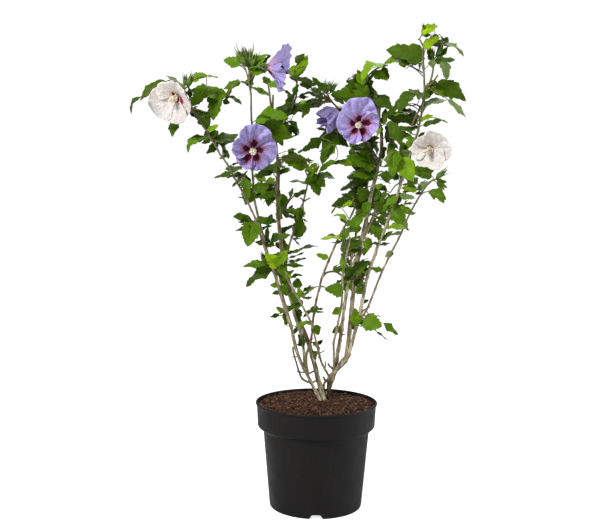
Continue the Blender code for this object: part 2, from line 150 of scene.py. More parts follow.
# A limb starts at `foot`, or at the fraction `along` of its parent's length, and runs to `tip`. `bends` are
# its sideways (X) bows from the straight line, in equal steps. `radii` are at foot and tip. `pale` is how
# light its bark is, from 0 to 1. The axes follow the part's limbs but lie up to 12 mm off them, and the radii
# are up to 1.5 mm off.
Limb = namedtuple("Limb", "name parent along foot tip bends radii pale")
LIMBS = (
    Limb("stem_middle", None, 0, (0.014, 0.024, GROUND), (-0.094, 0.088, 0.772),
         (-0.0075, -0.0230, -0.0295, -0.0220, -0.0060), (0.0050, 0.0028), 0.2),
    Limb("stem_left_tall", None, 0, (0.0085, 0.013, GROUND), (-0.134, -0.045, 0.826),
         (-0.0210, -0.0270, -0.0325, -0.0390, -0.0395, -0.0300, -0.0120),
         (0.0031, 0.0015), 0.6),
    Limb("trunk_right", None, 0, (0.024, 0.054, GROUND), (0.065, 0.028, 0.299),
         (-0.008, -0.012, -0.006), (0.0060, 0.0052), 0.3),
    Limb("stem_left_outer", "stem_left_tall", 0.05, None, (-0.242, -0.090, 0.784),
         (-0.003, 0.011, 0.020, 0.023, 0.029, 0.024, 0.0125),
         (0.0028, 0.0013), 0.3),
    Limb("stem_pale", "stem_left_tall", 0.10, None, (-0.029, 0.098, 0.600),
         (-0.0045, -0.0200, -0.0345, -0.0345, -0.0185), (0.0031, 0.0018), 0.85),
    Limb("stem_cross_right", "stem_middle", 0.18, None, (0.066, -0.068, 0.593),
         (-0.0095, -0.0160, -0.0195, -0.0165, -0.0090), (0.0024, 0.0018), 0.25),
    Limb("stem_right_thick", "trunk_right", 0.91, None, (0.120, 0.068, 0.794),
         (-0.001, -0.004, 0.002, 0.009, 0.015), (0.0047, 0.0030), 0.4),
    Limb("stem_right_tall", "trunk_right", 1.0, None, (0.193, -0.035, 0.896),
         (0.002, -0.0005, 0.007, 0.0175, 0.0235, 0.029, 0.0205), (0.0038, 0.0014), 0.95),
    Limb("stem_cross_left", "trunk_right", 0.40, None, (-0.070, -0.085, 0.495),
         (-0.004, 0.002, 0.007, 0.003, -0.003), (0.0024, 0.0016), 0.6),
    Limb("stem_right_inner", "trunk_right", 0.57, None, (0.119, 0.122, 0.578),
         (-0.0070, -0.0165, -0.0145), (0.0040, 0.0022), 0.45),
    Limb("stem_right_front", "trunk_right", 0.54, None, (0.059, -0.048, 0.536),
         (-0.006, -0.001, -0.004), (0.0025, 0.0020), 0.6),
    Limb("stem_right_outer", "stem_right_tall", 0.09, None, (0.2003, -0.093, 0.640),
         (0.003, -0.003, -0.004, -0.004, -0.006), (0.0022, 0.0015), 0.2),
    Limb("stem_back", None, 0, (0.024, 0.076, GROUND), (0.108, 0.176, 0.640),
         (0.006, -0.003, -0.004), (0.0030, 0.0020), 0.3),
    Limb("branch_centre", "stem_right_thick", 0.78, None, (0.006, 0.024, 0.813),
         (0.006, 0.010, 0.0075), (0.0024, 0.0016), 0.2),
    Limb("branch_middle", "stem_middle", 0.92, None, (-0.044, 0.030, 0.836),
         (0.0025, 0.0095, 0.008), (0.0021, 0.0015), 0.5),
    Limb("branch_back_left", "stem_middle", 0.55, None, (-0.088, 0.160, 0.640),
         (-0.001, -0.001, -0.001), (0.0022, 0.0016), 0.3),
)
TAPER_POWER = 0.8
FLARE = 0.35
FLARE_LENGTH = 0.012
LIMB_SAMPLES = 240

# ---- Twigs and leaves that show one by one --------------------------------------------------------

# A twig runs through `places`, pixels of the camera's frame, from the limb that is nearest to the first.
# `width` is in pixels. `reach` is how far its tip comes back from its foot, in metres of Y.
Twig = namedtuple("Twig", "places width reach pale")
TWIGS = (
    Twig(((307, 387), (302.6, 379), (299, 371.4), (296.4, 363), (293.8, 354), (292.6, 347)),
         2.0, -0.012, 0.0),
    Twig(((308, 375), (306.3, 364), (306.5, 355), (308.5, 347)), 2.8, -0.010, 0.2),
    Twig(((330, 380), (326, 381), (323.5, 377)), 2.6, -0.012, 0.0),
    Twig(((327, 379), (324.5, 383), (324, 389)), 2.5, -0.012, 0.0),
    Twig(((418, 193), (424, 192.5), (428, 191.5)), 1.2, -0.01, 0.1),
    Twig(((248, 72), (245, 68), (240, 65)), 1.2, -0.01, 0.2),
    Twig(((190, 108), (187, 98), (184, 89)), 2.0, 0.0, 0.2),
    Twig(((249, 80), (249.5, 72), (249, 66)), 2.4, 0.0, 0.5),
    Twig(((271, 108), (270, 98), (268.5, 86)), 2.2, 0.0, 0.3),
    Twig(((272, 108), (273, 100), (273, 95)), 2.1, 0.01, 0.3),
    Twig(((381, 116), (372, 101), (366, 89), (368, 77), (376, 69), (388, 65)), 1.9, -0.02, 0.9),
    Twig(((424, 88), (430, 82), (433, 70), (433, 60)), 2.0, -0.01, 0.3),
    Twig(((424, 88), (432, 83), (438, 75)), 1.8, -0.02, 0.1),
    Twig(((424, 74), (420, 71), (411, 66)), 1.4, 0.01, 0.2),
    Twig(((421, 106), (416, 116), (411, 127)), 1.5, -0.02, 0.1),
    Twig(((398, 146), (392, 153), (387, 161)), 1.2, -0.02, 0.9),
    Twig(((398, 181), (395, 186), (390, 193)), 1.3, 0.01, 0.4),
    Twig(((415, 118), (417, 122), (419, 127)), 1.5, 0.0, 0.3),
    Twig(((423, 110), (417, 105), (410, 106)), 1.4, 0.01, 0.2),
    Twig(((278, 216), (283, 210), (288, 201), (292, 195)), 1.6, -0.02, 0.1),
    Twig(((278, 217), (284, 209), (290, 200), (295, 195)), 1.5, -0.03, 0.1),
    Twig(((321, 277), (327, 272.5), (336, 272), (345, 278)), 2.0, 0.01, 0.1),
    Twig(((361, 322), (370, 322), (378, 325)), 1.3, -0.01, 0.9),
    Twig(((361, 323), (361, 315), (364, 310), (370, 307)), 1.5, 0.0, 0.1),
    Twig(((364, 236), (368, 228), (372, 218), (376, 209)), 2.0, -0.01, 0.4),
    Twig(((304, 199), (307, 199.5), (310, 198)), 1.6, -0.01, 0.0),
    Twig(((304, 199), (302, 199), (300, 198)), 1.6, -0.01, 0.0),
    Twig(((308, 189), (308, 180), (305, 170)), 1.6, 0.01, 0.5),
    Twig(((297, 87), (294, 96), (292, 104)), 1.6, 0.0, 0.7),
    Twig(((331, 104), (329, 97), (326, 90)), 1.6, -0.01, 0.1),
    Twig(((331, 103), (320, 102), (311, 101)), 1.5, -0.01, 0.1),
    Twig(((428, 184), (433, 180), (439, 179)), 1.8, -0.01, 0.3),
    Twig(((315, 371), (312, 372), (308.5, 374)), 2.0, -0.01, 0.0),
    Twig(((320, 353), (323, 351.5), (325, 350)), 1.2, -0.01, 0.3),
    Twig(((302, 374), (299, 372), (297, 371)), 1.5, -0.01, 0.0),
    Twig(((318, 381), (315.5, 381), (313, 382.5)), 2.0, -0.01, 0.0),
    Twig(((326, 368), (325.5, 364), (325, 361)), 1.4, -0.01, 0.2),
    Twig(((331, 369), (329.5, 366), (328, 363.5)), 2.2, -0.01, 0.3),
    Twig(((341, 335), (343, 334.5), (345.5, 334)), 1.2, -0.01, 0.2),
    Twig(((295, 358), (293, 357), (291.5, 357)), 1.1, -0.01, 0.3),
    Twig(((422, 41), (420, 40), (418, 39)), 1.6, 0.0, 0.4),
    Twig(((424, 52), (422, 49.5), (420.5, 47.5)), 1.5, 0.0, 0.3),
)

# A leaf runs from its base to its tip, in pixels of the camera's frame. `width` is its width as seen, and
# `bow` how far its midrib bends to the left of the way it points, in pixels.
Leaf = namedtuple("Leaf", "tint base_x base_y tip_x tip_y width bow", defaults=(0,))
LEAVES = (
    # Left arm, round the white bloom
    Leaf("dark", 166, 81.5, 140, 101, 8, -3),
    Leaf("dark", 145, 96, 131.5, 114, 3.2, -5),
    Leaf("mid", 175.5, 118, 172.5, 137, 9),
    Leaf("grey", 184, 88, 165, 75, 3, -1),
    Leaf("mid", 183, 87, 167, 80, 2.6),
    Leaf("light", 193, 81, 208, 76, 7, 2),
    Leaf("grey", 206, 76, 219, 78, 1.8, 0.5),
    Leaf("mid", 222, 95, 189, 91, 12, -1.5),
    Leaf("mid", 205, 89, 191.5, 106.5, 11),
    Leaf("mid", 219, 89, 213.5, 120.5, 14.5),
    Leaf("dark", 207.5, 129, 189, 111, 11.5, -6),
    Leaf("light", 208, 130, 219, 125, 5),
    Leaf("mid", 210, 140, 185.5, 140.5, 4.2, -2.6),
    Leaf("mid", 200, 139, 188, 153, 6, -4.4),
    Leaf("dark", 210, 141, 201, 143, 3.5),
    Leaf("dark", 217, 142, 206, 153.5, 7),
    Leaf("dark", 214, 140.5, 238, 134, 9, -0.5),
    Leaf("mid", 216, 141, 226, 148, 6),
    Leaf("dark", 225, 155, 219, 159, 3),
    Leaf("mid", 225, 150, 229, 159, 4.5),
    Leaf("mid", 219, 143, 226, 152, 5),
    # Left top
    Leaf("mid", 240, 65, 223.5, 60, 10, -0.5),
    Leaf("mid", 240, 82, 223.5, 89, 6.8),
    Leaf("dark", 245, 82, 254, 84, 6),
    Leaf("mid", 231, 89, 225, 101, 4.5),
    Leaf("dark", 229, 96, 242, 105, 3.5, 0.5),
    Leaf("dark", 223, 101, 230, 103, 5),
    Leaf("mid", 252, 69, 269, 54.5, 8.5, 3.5),
    Leaf("light", 251.5, 74, 267, 68, 8),
    Leaf("dark", 262, 61, 271, 56, 4),
    Leaf("dark", 263, 77, 272, 87, 6),
    Leaf("light", 268, 82, 284, 91, 6.5),
    Leaf("mid", 269, 95, 250.5, 87, 4.8),
    Leaf("light", 290, 75, 307.5, 55, 11, -2.5),
    Leaf("grey", 290, 77, 315, 82, 5, 0.3),
    Leaf("mid", 300, 85, 317, 84, 7),
    Leaf("mid", 298, 85, 293, 98, 5),
    Leaf("dark", 290, 95, 284, 90, 3),
    Leaf("dark", 299, 97, 311, 92, 2.6, 0.5),
    Leaf("dark", 300, 98, 309, 97, 3),
    # Above and beside the left blue bloom
    Leaf("mid", 256, 121, 293, 137, 20, 1),
    Leaf("mid", 256, 120, 288, 118, 12, 3),
    Leaf("mid", 277, 137, 283, 146, 7),
    Leaf("dark", 290, 137, 297, 135, 1.6),
    Leaf("dark", 294, 104, 278, 108.5, 5.5),
    Leaf("mid", 324, 101.5, 284, 114.5, 8, -1.5),
    Leaf("mid", 311, 103, 302, 118.5, 7),
    Leaf("light", 306, 167, 281, 157, 15, -1.5),
    Leaf("young", 309, 175, 320, 166, 6),
    Leaf("young", 311, 174, 303, 161, 5),
    Leaf("dark", 321, 138, 302, 151, 9),
    Leaf("mid", 336, 128, 322, 164, 14),
    Leaf("dark", 338, 132, 319, 138, 8, -1),
    Leaf("mid", 331, 145, 319, 152, 4),
    Leaf("dark", 332, 131, 316, 128, 3.5),
    Leaf("light", 356, 165, 332, 164, 6.4, -2),
    Leaf("mid", 335, 161, 318.5, 173, 5.5, -1),
    # Centre top and the shoulder over the right blue bloom
    Leaf("mid", 326, 90, 312, 77, 6),
    Leaf("mid", 360, 95, 330.5, 95, 15.5),
    Leaf("mid", 367, 97, 352, 84, 14),
    Leaf("light", 364, 84, 355.5, 73.5, 8),
    Leaf("light", 386, 64, 362, 80.5, 9, -6.5),
    Leaf("light", 372, 73, 388, 80.5, 9, 0.5),
    Leaf("dark", 368, 81, 374, 82, 4),
    Leaf("dark", 370, 98, 393, 113, 11.5, 4),
    Leaf("mid", 372, 165, 362, 152, 6),
    Leaf("dark", 378, 142, 350, 147, 7, 1),
    Leaf("mid", 373, 152, 350, 149, 8),
    Leaf("dark", 374, 147, 358, 153, 5),
    Leaf("mid", 374, 166, 346, 156, 13),
    Leaf("mid", 370, 160, 352, 152, 7),
    Leaf("mid", 376, 171, 353, 176, 13),
    Leaf("mid", 368, 174, 352, 187, 11),
    Leaf("dark", 366, 178, 358, 190, 8),
    Leaf("mid", 354, 141, 350, 148, 5),
    Leaf("dark", 381, 132, 373, 118, 8),
    Leaf("young", 380, 122, 377, 137, 5),
    Leaf("dark", 388, 126, 386, 143, 7),
    # Right top
    Leaf("dark", 424, 57.5, 386, 50, 16.5),
    Leaf("light", 412, 63, 384, 63, 9, -3.5),
    Leaf("dark", 402, 60, 405, 67.5, 8),
    Leaf("young", 422, 34, 438, 26, 8, 1),
    Leaf("dark", 423, 29, 424, 23, 2.2),
    Leaf("mid", 423, 35, 431, 35, 4),
    Leaf("young", 424, 48, 440, 37.5, 8, 1),
    Leaf("grey", 430, 45, 445, 43, 6, 1),
    Leaf("grey", 444, 43, 464, 57, 3.2, 3),
    Leaf("dark", 433, 60, 427, 50, 6),
    Leaf("mid", 436, 57, 448, 46, 5, -2),
    Leaf("light", 437, 52, 443, 46, 3),
    Leaf("mid", 434, 61, 455.5, 60, 6, 0.5),
    Leaf("grey", 432, 60, 433, 68, 7),
    Leaf("grey", 443, 61, 446.5, 80, 8.5),
    Leaf("dark", 437, 84, 466, 101, 14.5, 3),
    Leaf("dark", 437, 83, 425, 87, 6),
    Leaf("light", 434, 92, 448, 97, 5.5, 1),
    Leaf("light", 424, 98, 429, 90, 5),
    Leaf("dark", 413, 92, 399, 113, 11, -2.5),
    Leaf("grey", 424, 97.5, 408, 89.5, 5),
    Leaf("dark", 415, 118, 388, 118.5, 11),
    Leaf("dark", 400, 106, 386, 116, 7),
    Leaf("mid", 423, 107, 452, 101, 4.6, 3),
    Leaf("grey", 448, 100, 466, 117.5, 5, 0.5),
    Leaf("young", 421, 121, 434, 116, 4.5, 1),
    Leaf("mid", 423, 125, 443, 120, 5, 1),
    Leaf("grey", 442, 120, 448, 123, 1.6),
    Leaf("dark", 419, 127, 405, 130, 3),
    Leaf("dark", 419, 138, 425, 132, 4),
    Leaf("dark", 420, 139, 425, 137, 3),
    Leaf("mid", 391, 121, 402, 147, 12),
    Leaf("light", 420, 141, 404, 138, 6),
    Leaf("light", 413, 141, 403, 150, 7),
    Leaf("mid", 399, 149, 412, 167, 13),
    Leaf("light", 400, 159, 413, 181, 17),
    Leaf("light", 404, 160, 418, 176, 8),
    Leaf("mid", 394, 150, 393, 177, 13),
    Leaf("mid", 390, 143, 391, 160, 8),
    Leaf("mid", 415, 174.5, 434, 170, 11),
    Leaf("dark", 432, 176, 420, 177, 5),
    # Left shoulder and waist
    Leaf("dark", 234, 172, 214, 178, 4),
    Leaf("mid", 230, 172, 241, 166, 8),
    Leaf("dark", 232, 165, 242, 161, 2),
    Leaf("dark", 241, 179, 245, 172, 4.5),
    Leaf("dark", 273, 171, 254, 177, 8),
    Leaf("mid", 281, 164, 262, 170, 6),
    Leaf("dark", 279, 173, 290, 168, 5),
    Leaf("dark", 238, 177, 224, 180, 2, -2),
    Leaf("dark", 239, 181, 232, 187, 3),
    Leaf("dark", 250, 183, 242, 173, 6),
    Leaf("mid", 244, 178, 247, 200, 9),
    Leaf("dark", 254, 192, 249, 203, 8),
    Leaf("dark", 247, 199, 238, 197, 1.8),
    Leaf("mid", 254, 189, 269, 185, 10),
    Leaf("mid", 276, 194, 257, 198, 8),
    Leaf("mid", 272, 193, 267, 204, 10),
    Leaf("light", 277, 221, 283, 206, 6),
    Leaf("light", 278, 207, 280, 190, 5),
    Leaf("mid", 252, 221, 233, 217, 8, -2.5),
    Leaf("dark", 252, 222, 238, 222, 2.6),
    Leaf("mid", 254.5, 222.5, 247.5, 246.5, 16.5, -1),
    Leaf("dark", 253, 226, 235, 231, 4),
    Leaf("mid", 250, 224, 241, 225, 4),
    Leaf("mid", 276, 221, 258, 224, 6),
    Leaf("mid", 269, 222, 272, 214, 6),
    Leaf("dark", 267, 243, 268, 227, 5.5),
    Leaf("dark", 261, 230, 273, 226, 2.6, 1.5),
    Leaf("light", 265, 244, 255, 242, 5),
    Leaf("dark", 264, 244, 272, 247, 4),
    Leaf("dark", 274, 246, 268, 240, 4),
    Leaf("dark", 276, 243, 281, 249, 5),
    Leaf("dark", 277, 235, 294, 225, 5),
    Leaf("dark", 271, 240, 291, 235, 6.5),
    Leaf("light", 278, 234, 271, 241, 6),
    Leaf("light", 287, 252, 282, 237, 8),
    # Middle, on the pale stem
    Leaf("grey", 290, 196, 293, 188, 4),
    Leaf("dark", 294, 196, 308, 189, 5),
    Leaf("light", 286, 211, 301, 210.5, 6),
    Leaf("dark", 282, 213, 295, 218, 5),
    Leaf("dark", 289, 209, 293, 205, 3),
    Leaf("mid", 297, 237, 301, 216, 13, -1),
    Leaf("mid", 295, 235, 307, 228, 7),
    Leaf("dark", 303, 219, 308, 222, 1.8),
    Leaf("dark", 293, 238, 300, 246, 1.8),
    Leaf("dark", 294, 238, 301, 239, 2),
    Leaf("grey", 307, 184, 287, 182, 2.6, -1.5),
    Leaf("mid", 316, 179, 336, 180, 7, 4.5),
    Leaf("mid", 317, 177, 325, 187, 9),
    Leaf("mid", 312, 177, 319, 196, 12),
    Leaf("mid", 316, 174, 305, 184, 9),
    Leaf("dark", 298, 251, 319, 247, 3, 2.5),
    Leaf("mid", 288, 254, 303, 249.5, 3),
    Leaf("dark", 289, 258, 305, 252, 1.8, -0.5),
    Leaf("dark", 288, 253, 300, 251, 2),
    # Right heart and waist
    Leaf("mid", 362, 180, 340, 191, 6),
    Leaf("mid", 361, 199, 331, 206, 13, -2.5),
    Leaf("dark", 352, 196, 341, 194, 4),
    Leaf("young", 352, 202, 342, 207, 4),
    Leaf("dark", 335, 208, 331, 214, 1.8),
    Leaf("light", 347, 222, 332, 216.5, 3.6, -3.5),
    Leaf("mid", 363, 219, 345, 225, 10),
    Leaf("young", 345, 236.5, 319, 239, 3.5),
    Leaf("light", 361, 227, 340, 233, 8),
    Leaf("mid", 348, 230, 343, 241, 7),
    Leaf("grey", 344, 241, 331, 243, 2),
    Leaf("dark", 360, 240, 344.5, 253, 7.5),
    Leaf("mid", 362, 237, 350, 239, 3),
    Leaf("light", 369, 238, 366, 253, 9),
    Leaf("mid", 364, 248, 364, 256, 5),
    Leaf("mid", 360, 250, 348, 252, 4),
    Leaf("dark", 367, 198, 384, 197, 14),
    Leaf("dark", 369, 200, 358, 187, 13),
    Leaf("dark", 372, 200, 378, 187, 11),
    Leaf("mid", 370, 203, 362, 214, 9),
    Leaf("mid", 366, 200, 356, 209, 8),
    Leaf("light", 372, 205, 366, 213, 5),
    Leaf("light", 368, 214, 358, 214, 5),
    Leaf("light", 376, 188, 383, 184, 5),
    Leaf("dark", 398, 175.5, 378, 175.5, 9),
    Leaf("dark", 383, 180, 391, 184, 2),
    Leaf("dark", 418, 183, 402, 185, 3.5),
    Leaf("light", 417, 189, 401, 188, 6),
    Leaf("dark", 417, 190, 402, 192, 3),
    Leaf("grey", 400, 196, 415, 198, 6),
    Leaf("grey", 419, 190, 427, 182, 6),
    Leaf("mid", 429, 192, 446, 200, 8, 2.5),
    Leaf("mid", 436, 194, 444, 203.5, 6, 1),
    Leaf("light", 433, 192, 434, 200, 5),
    Leaf("grey", 410, 214, 416, 213, 3),
    Leaf("dark", 412, 203, 403, 204, 2.2),
    Leaf("dark", 421, 193, 415, 194, 3),
    Leaf("mid", 437, 180, 447, 182, 4),
    Leaf("mid", 438, 181, 442, 189, 5),
    Leaf("dark", 375, 203, 386, 215, 9),
    Leaf("mid", 396, 197, 385, 206, 7),
    Leaf("mid", 390, 200, 383, 212, 6),
    Leaf("light", 388, 216, 374, 219, 3.5, -1),
    Leaf("mid", 384, 220, 373, 222, 2.6),
    Leaf("mid", 382, 237, 371, 226, 10),
    Leaf("dark", 379, 241, 383, 228, 5),
    Leaf("dark", 382, 240.5, 393, 231, 5),
    Leaf("dark", 379, 243, 371, 244, 3),
    Leaf("dark", 380, 245, 390, 243, 3),
    Leaf("mid", 393, 206, 407, 229, 14, -1),
    Leaf("light", 410, 210, 400, 206, 5),
    Leaf("light", 405, 227, 386, 229, 6, -1.5),
    Leaf("grey", 402, 232, 390, 235, 3),
    # Low left
    Leaf("mid", 272, 268, 246, 287, 9.5, -3.5),
    Leaf("dark", 272, 266, 254, 272, 8),
    Leaf("mid", 268, 264, 243, 267, 6.5, -1),
    Leaf("dark", 272, 267, 261, 262, 5),
    Leaf("young", 279, 266, 265, 254, 12),
    Leaf("light", 278, 266, 277, 256, 6),
    Leaf("mid", 280, 263, 283, 276, 10),
    Leaf("young", 282, 274, 292, 277, 5),
    Leaf("light", 279, 262, 288, 250, 8),
    Leaf("dark", 282, 254, 272, 255, 3),
    Leaf("light", 287, 265, 304, 266, 4.5, 0.5),
    Leaf("dark", 288, 262, 299, 261, 2.2),
    Leaf("dark", 296, 260, 307, 258, 2.2),
    Leaf("dark", 291, 278, 303, 276, 3, 2),
    Leaf("mid", 296, 288, 298, 278, 9),
    Leaf("light", 300, 297, 298, 287, 6),
    Leaf("dark", 303, 292, 311, 285, 3),
    Leaf("grey", 302, 296, 310, 291, 3),
    Leaf("grey", 305, 294, 328, 288, 2.2, 4),
    Leaf("dark", 302, 297, 313, 297, 2.6, -1),
    Leaf("light", 278, 286, 270, 285, 5),
    Leaf("mid", 282, 285, 287, 296, 8),
    Leaf("mid", 290, 291, 272, 294, 6),
    Leaf("dark", 298, 302, 290, 292, 8),
    Leaf("dark", 303, 302, 289, 308, 7),
    Leaf("dark", 297, 309, 298, 322, 9),
    Leaf("mid", 283, 312, 276, 307, 5),
    Leaf("dark", 279, 314, 270, 317, 4),
    Leaf("light", 286, 325, 283, 311, 4.5),
    Leaf("mid", 318, 307, 308, 313, 6),
    Leaf("dark", 316, 309, 324, 309, 2.6),
    Leaf("grey", 316, 312, 324, 312, 2),
    Leaf("dark", 309, 310, 303, 318, 2),
    Leaf("mid", 343, 292, 324.5, 289, 12.5, -1),
    Leaf("light", 328, 258, 316, 254, 5.5),
    # Low right
    Leaf("dark", 345, 277, 370, 262.5, 10),
    Leaf("light", 343, 272, 342, 254, 4),
    Leaf("mid", 352, 264, 345, 261, 4),
    Leaf("dark", 342, 267, 332, 269.5, 3),
    Leaf("mid", 349, 282, 341, 282, 3.5),
    Leaf("light", 350, 280, 362, 276, 2.6),
    Leaf("light", 345, 284, 344, 276, 4.5),
    Leaf("mid", 350, 283, 363, 294, 10),
    Leaf("mid", 354, 285, 361, 279, 5),
    Leaf("mid", 382, 271, 370, 268, 5),
    Leaf("dark", 369, 268, 361, 272, 2),
    Leaf("grey", 393, 252, 385, 257, 6),
    Leaf("dark", 363, 302, 369, 300, 3.5),
    Leaf("light", 341, 309, 332, 314, 7),
    Leaf("light", 341, 328, 332, 333, 7),
    Leaf("light", 356, 326, 355, 308, 10),
    Leaf("mid", 351, 322, 354, 330, 5),
    Leaf("mid", 359, 322, 365, 322, 5),
    Leaf("mid", 364, 319, 382, 326.5, 17),
    Leaf("mid", 384, 323.5, 398, 335, 6.5),
    Leaf("grey", 360, 326, 375, 330, 2.6, 1.5),
    Leaf("grey", 376, 331, 387, 340, 2),
    # Foot
    Leaf("light", 311, 323.5, 297, 327.5, 5, -2),
    Leaf("dark", 301, 327.5, 293.5, 334.5, 5, -1),
    Leaf("grey", 302, 346, 298, 334, 5),
    Leaf("mid", 303.5, 347, 302.5, 334, 3),
    Leaf("dark", 303, 345, 296, 344, 3),
    Leaf("mid", 314, 325.5, 318.5, 335, 9),
    Leaf("mid", 313, 329, 316, 333, 4),
    Leaf("dark", 318, 345, 312, 342, 3.5),
    Leaf("dark", 318, 344, 323, 340, 4),
    Leaf("dark", 318, 354, 312, 351, 3.5),
    Leaf("mid", 316, 353, 315.5, 360, 2.6),
    Leaf("dark", 384, 124, 386, 108, 6.5),
    Leaf("dark", 398, 128, 416, 130, 5),
    Leaf("mid", 399, 134, 413, 138, 7),
    Leaf("dark", 386, 192, 380, 203, 4.5),
    Leaf("mid", 257, 222, 268, 217, 5),
    Leaf("light", 287, 275, 294, 270, 4),
    Leaf("mid", 346, 223, 339, 218, 3),
    Leaf("mid", 358, 279, 365, 273, 4),
    Leaf("mid", 361, 281, 363, 291, 4),
    Leaf("mid", 321, 99, 311, 87, 5),
    Leaf("dark", 344, 103, 333, 99, 4),
    Leaf("dark", 336, 132, 349, 147, 9),
    Leaf("mid", 336, 146, 326, 160, 5),
    Leaf("mid", 305, 160, 314, 161, 2.5),
    Leaf("young", 317, 164, 309, 168, 4),
    Leaf("dark", 364, 139, 380, 138, 6),
    Leaf("dark", 376, 144, 377, 155, 4),
    Leaf("dark", 385, 147, 383, 160, 4.5),
    Leaf("dark", 189, 88, 190, 101, 4),
    Leaf("dark", 388, 138, 398, 149, 5),
    Leaf("mid", 384, 67, 389, 79, 6),
    Leaf("mid", 288, 151, 297, 149, 3),
    Leaf("dark", 222, 143, 233, 142, 4.5),
    Leaf("dark", 190, 112, 198, 119, 4),
    Leaf("dark", 392, 198, 386, 193, 2.5),
    Leaf("dark", 405, 227, 409.5, 231, 2),
    Leaf("dark", 312, 325, 309, 319, 3.5),
    Leaf("mid", 440, 183, 447, 188, 3.5),
)

# A bloom's throat is at pixel (x, y), `ahead` metres nearer the camera than what carries it. It faces `turn`
# degrees to the right of the camera and `lift` degrees above it. Its petals leave the axis at `cone` degrees
# at their base and at their tip. The first petal points `spin` degrees round from the right, and `petals`
# are the lengths of the five. `eyes` are how large their dark blotches are, and `shades` how much painted
# shade darkens each petal that lies in shade, from 0 to 1.
Bloom = namedtuple("Bloom", "name x y ahead turn lift spin cone petals ruffle eyes shades colour node")
BLOOMS = (
    Bloom("left_white", 179.5, 95, 0.002, -38, -23, 50, (38, 74), (0.045, 0.046, 0.058, 0.056, 0.046),
          0.0009, (0.2, 0.65, 0.7, 0.6, 0.9), (0.0, 0.0, 0.35, 0.5, 0.4), "white", "bloom_left_white"),
    Bloom("left_side", 265.5, 67, 0.012, 98, -4, 80, (42, 53), (0.063, 0.060, 0.050, 0.053, 0.058),
          0.0036, (0.8, 0.8, 0.8, 0.8, 0.8), (1.0, 0.7, 0.0, 0.0, 0.9), "blue", None),
    Bloom("left_blue", 252.6, 149.4, 0.012, 2, -12, 82, (27, 86), (0.061, 0.051, 0.042, 0.048, 0.057),
          0.0040, (1.12, 1.1, 1.1, 1.1, 1.1), (0.5, 0.55, 0.5, 0.75, 0.6), "blue", "bloom_left"),
    Bloom("right_blue", 358.8, 124.6, 0.026, -1, -5, 88, (27, 86), (0.068, 0.059, 0.050, 0.042, 0.047),
          0.0040, (1.12, 1.1, 1.1, 1.1, 1.1), (0.1, 0.0, 0.0, 0.1, 0.0), "blue", "bloom_right"),
    Bloom("centre_bell", 339, 111.5, 0.010, -62, -30, 56, (72, -24), (0.049, 0.046, 0.050, 0.047, 0.048),
          0.0050, (0.6, 0.6, 0.6, 0.6, 0.6), (0.0, 0.0, 0.0, 0.0, 0.0), "blue", None),
    Bloom("right_white", 431.5, 148, 0.004, -22, -18, 28, (46, 72), (0.058, 0.040, 0.038, 0.037, 0.050),
          0.0007, (0.3, 0.42, 0.2, 0.2, 0.3), (0.15, 0.0, 0.0, 0.0, 0.15), "white", "bloom_right_white"),
)

# A bud stands on pixel (x, y) and points `lean` degrees to the right of upright.
Bud = namedtuple("Bud", "x y lean length")
BUDS = (
    Bud(185, 86, 4, 0.024), Bud(187, 87, 26, 0.030), Bud(246, 66, -30, 0.036),
    Bud(247.5, 67, -13, 0.042), Bud(250, 67, 0, 0.038), Bud(252, 67, 18, 0.030),
    Bud(326, 92, -8, 0.024), Bud(328, 92, 8, 0.024), Bud(330, 93, 32, 0.026),
    Bud(321.5, 99, -12, 0.022), Bud(327, 94, -40, 0.020), Bud(316, 96, -60, 0.020),
    Bud(433, 58, -8, 0.022), Bud(437, 56, 26, 0.026), Bud(436, 178, 50, 0.028),
    Bud(360, 84, -15, 0.016), Bud(380, 166, 10, 0.016), Bud(377, 163, -30, 0.014),
    Bud(384, 167, 60, 0.014), Bud(363, 135, 20, 0.018), Bud(426, 92, 12, 0.014),
    Bud(246, 83, -70, 0.012), Bud(420, 68, -12, 0.013), Bud(412, 134, -40, 0.014),
    Bud(292, 96, -55, 0.013),
)


# ---- Small shared sums ----------------------------------------------------------------------------


def unit(vectors):
    """Vectors divided by their own lengths."""
    return vectors / np.maximum(np.linalg.norm(vectors, axis=-1, keepdims=True), 1e-12)


def ripple(points, scale, seed, waves=9):
    """Uneven field from -1 to 1: the mean of sines along seeded directions, one wave per `scale` metres."""
    rng = np.random.default_rng(seed)
    ways = unit(rng.normal(size=(waves, 3))) * rng.uniform(0.6, 1.7, (waves, 1)) * math.tau / scale
    return np.sin(points @ ways.T + rng.uniform(0, math.tau, waves)).mean(-1) * 1.8


def smooth(values):
    """Eases 0..1 in and out: 3t^2 - 2t^3."""
    values = np.clip(values, 0, 1)
    return values * values * (3 - 2 * values)


def through(points, count):
    """A smooth curve through points: a cubic of each four neighbours, at `count` equal steps."""
    points = np.asarray(points, float)
    padded = np.vstack([2 * points[:1] - points[1:2], points, 2 * points[-1:] - points[-2:-1]])
    place = np.linspace(0, len(points) - 1, count)
    left = np.minimum(place.astype(int), len(points) - 2)
    t = (place - left)[:, None]
    a, b, c, d = padded[left], padded[left + 1], padded[left + 2], padded[left + 3]
    return 0.5 * (2 * b + (c - a) * t + (2 * a - 5 * b + 4 * c - d) * t**2 + (3 * b - a - 3 * c + d) * t**3)


def arcs(start, middle, end, steps):
    """Parabolas: start x (1 - t)^2 + middle x 2t(1 - t) + end x t^2, at `steps` equal shares t."""
    t = np.linspace(0, 1, steps)[None, :, None]
    return start[:, None] * (1 - t) ** 2 + middle[:, None] * 2 * t * (1 - t) + end[:, None] * t**2


# ---- Meshes ---------------------------------------------------------------------------------------

# Points with their faces, UV places and the two numbers a material reads: the tone, and a second number that
# is youth on bark and painted shade on petals.
Part = namedtuple("Part", "points quads triangles uv tone youth")


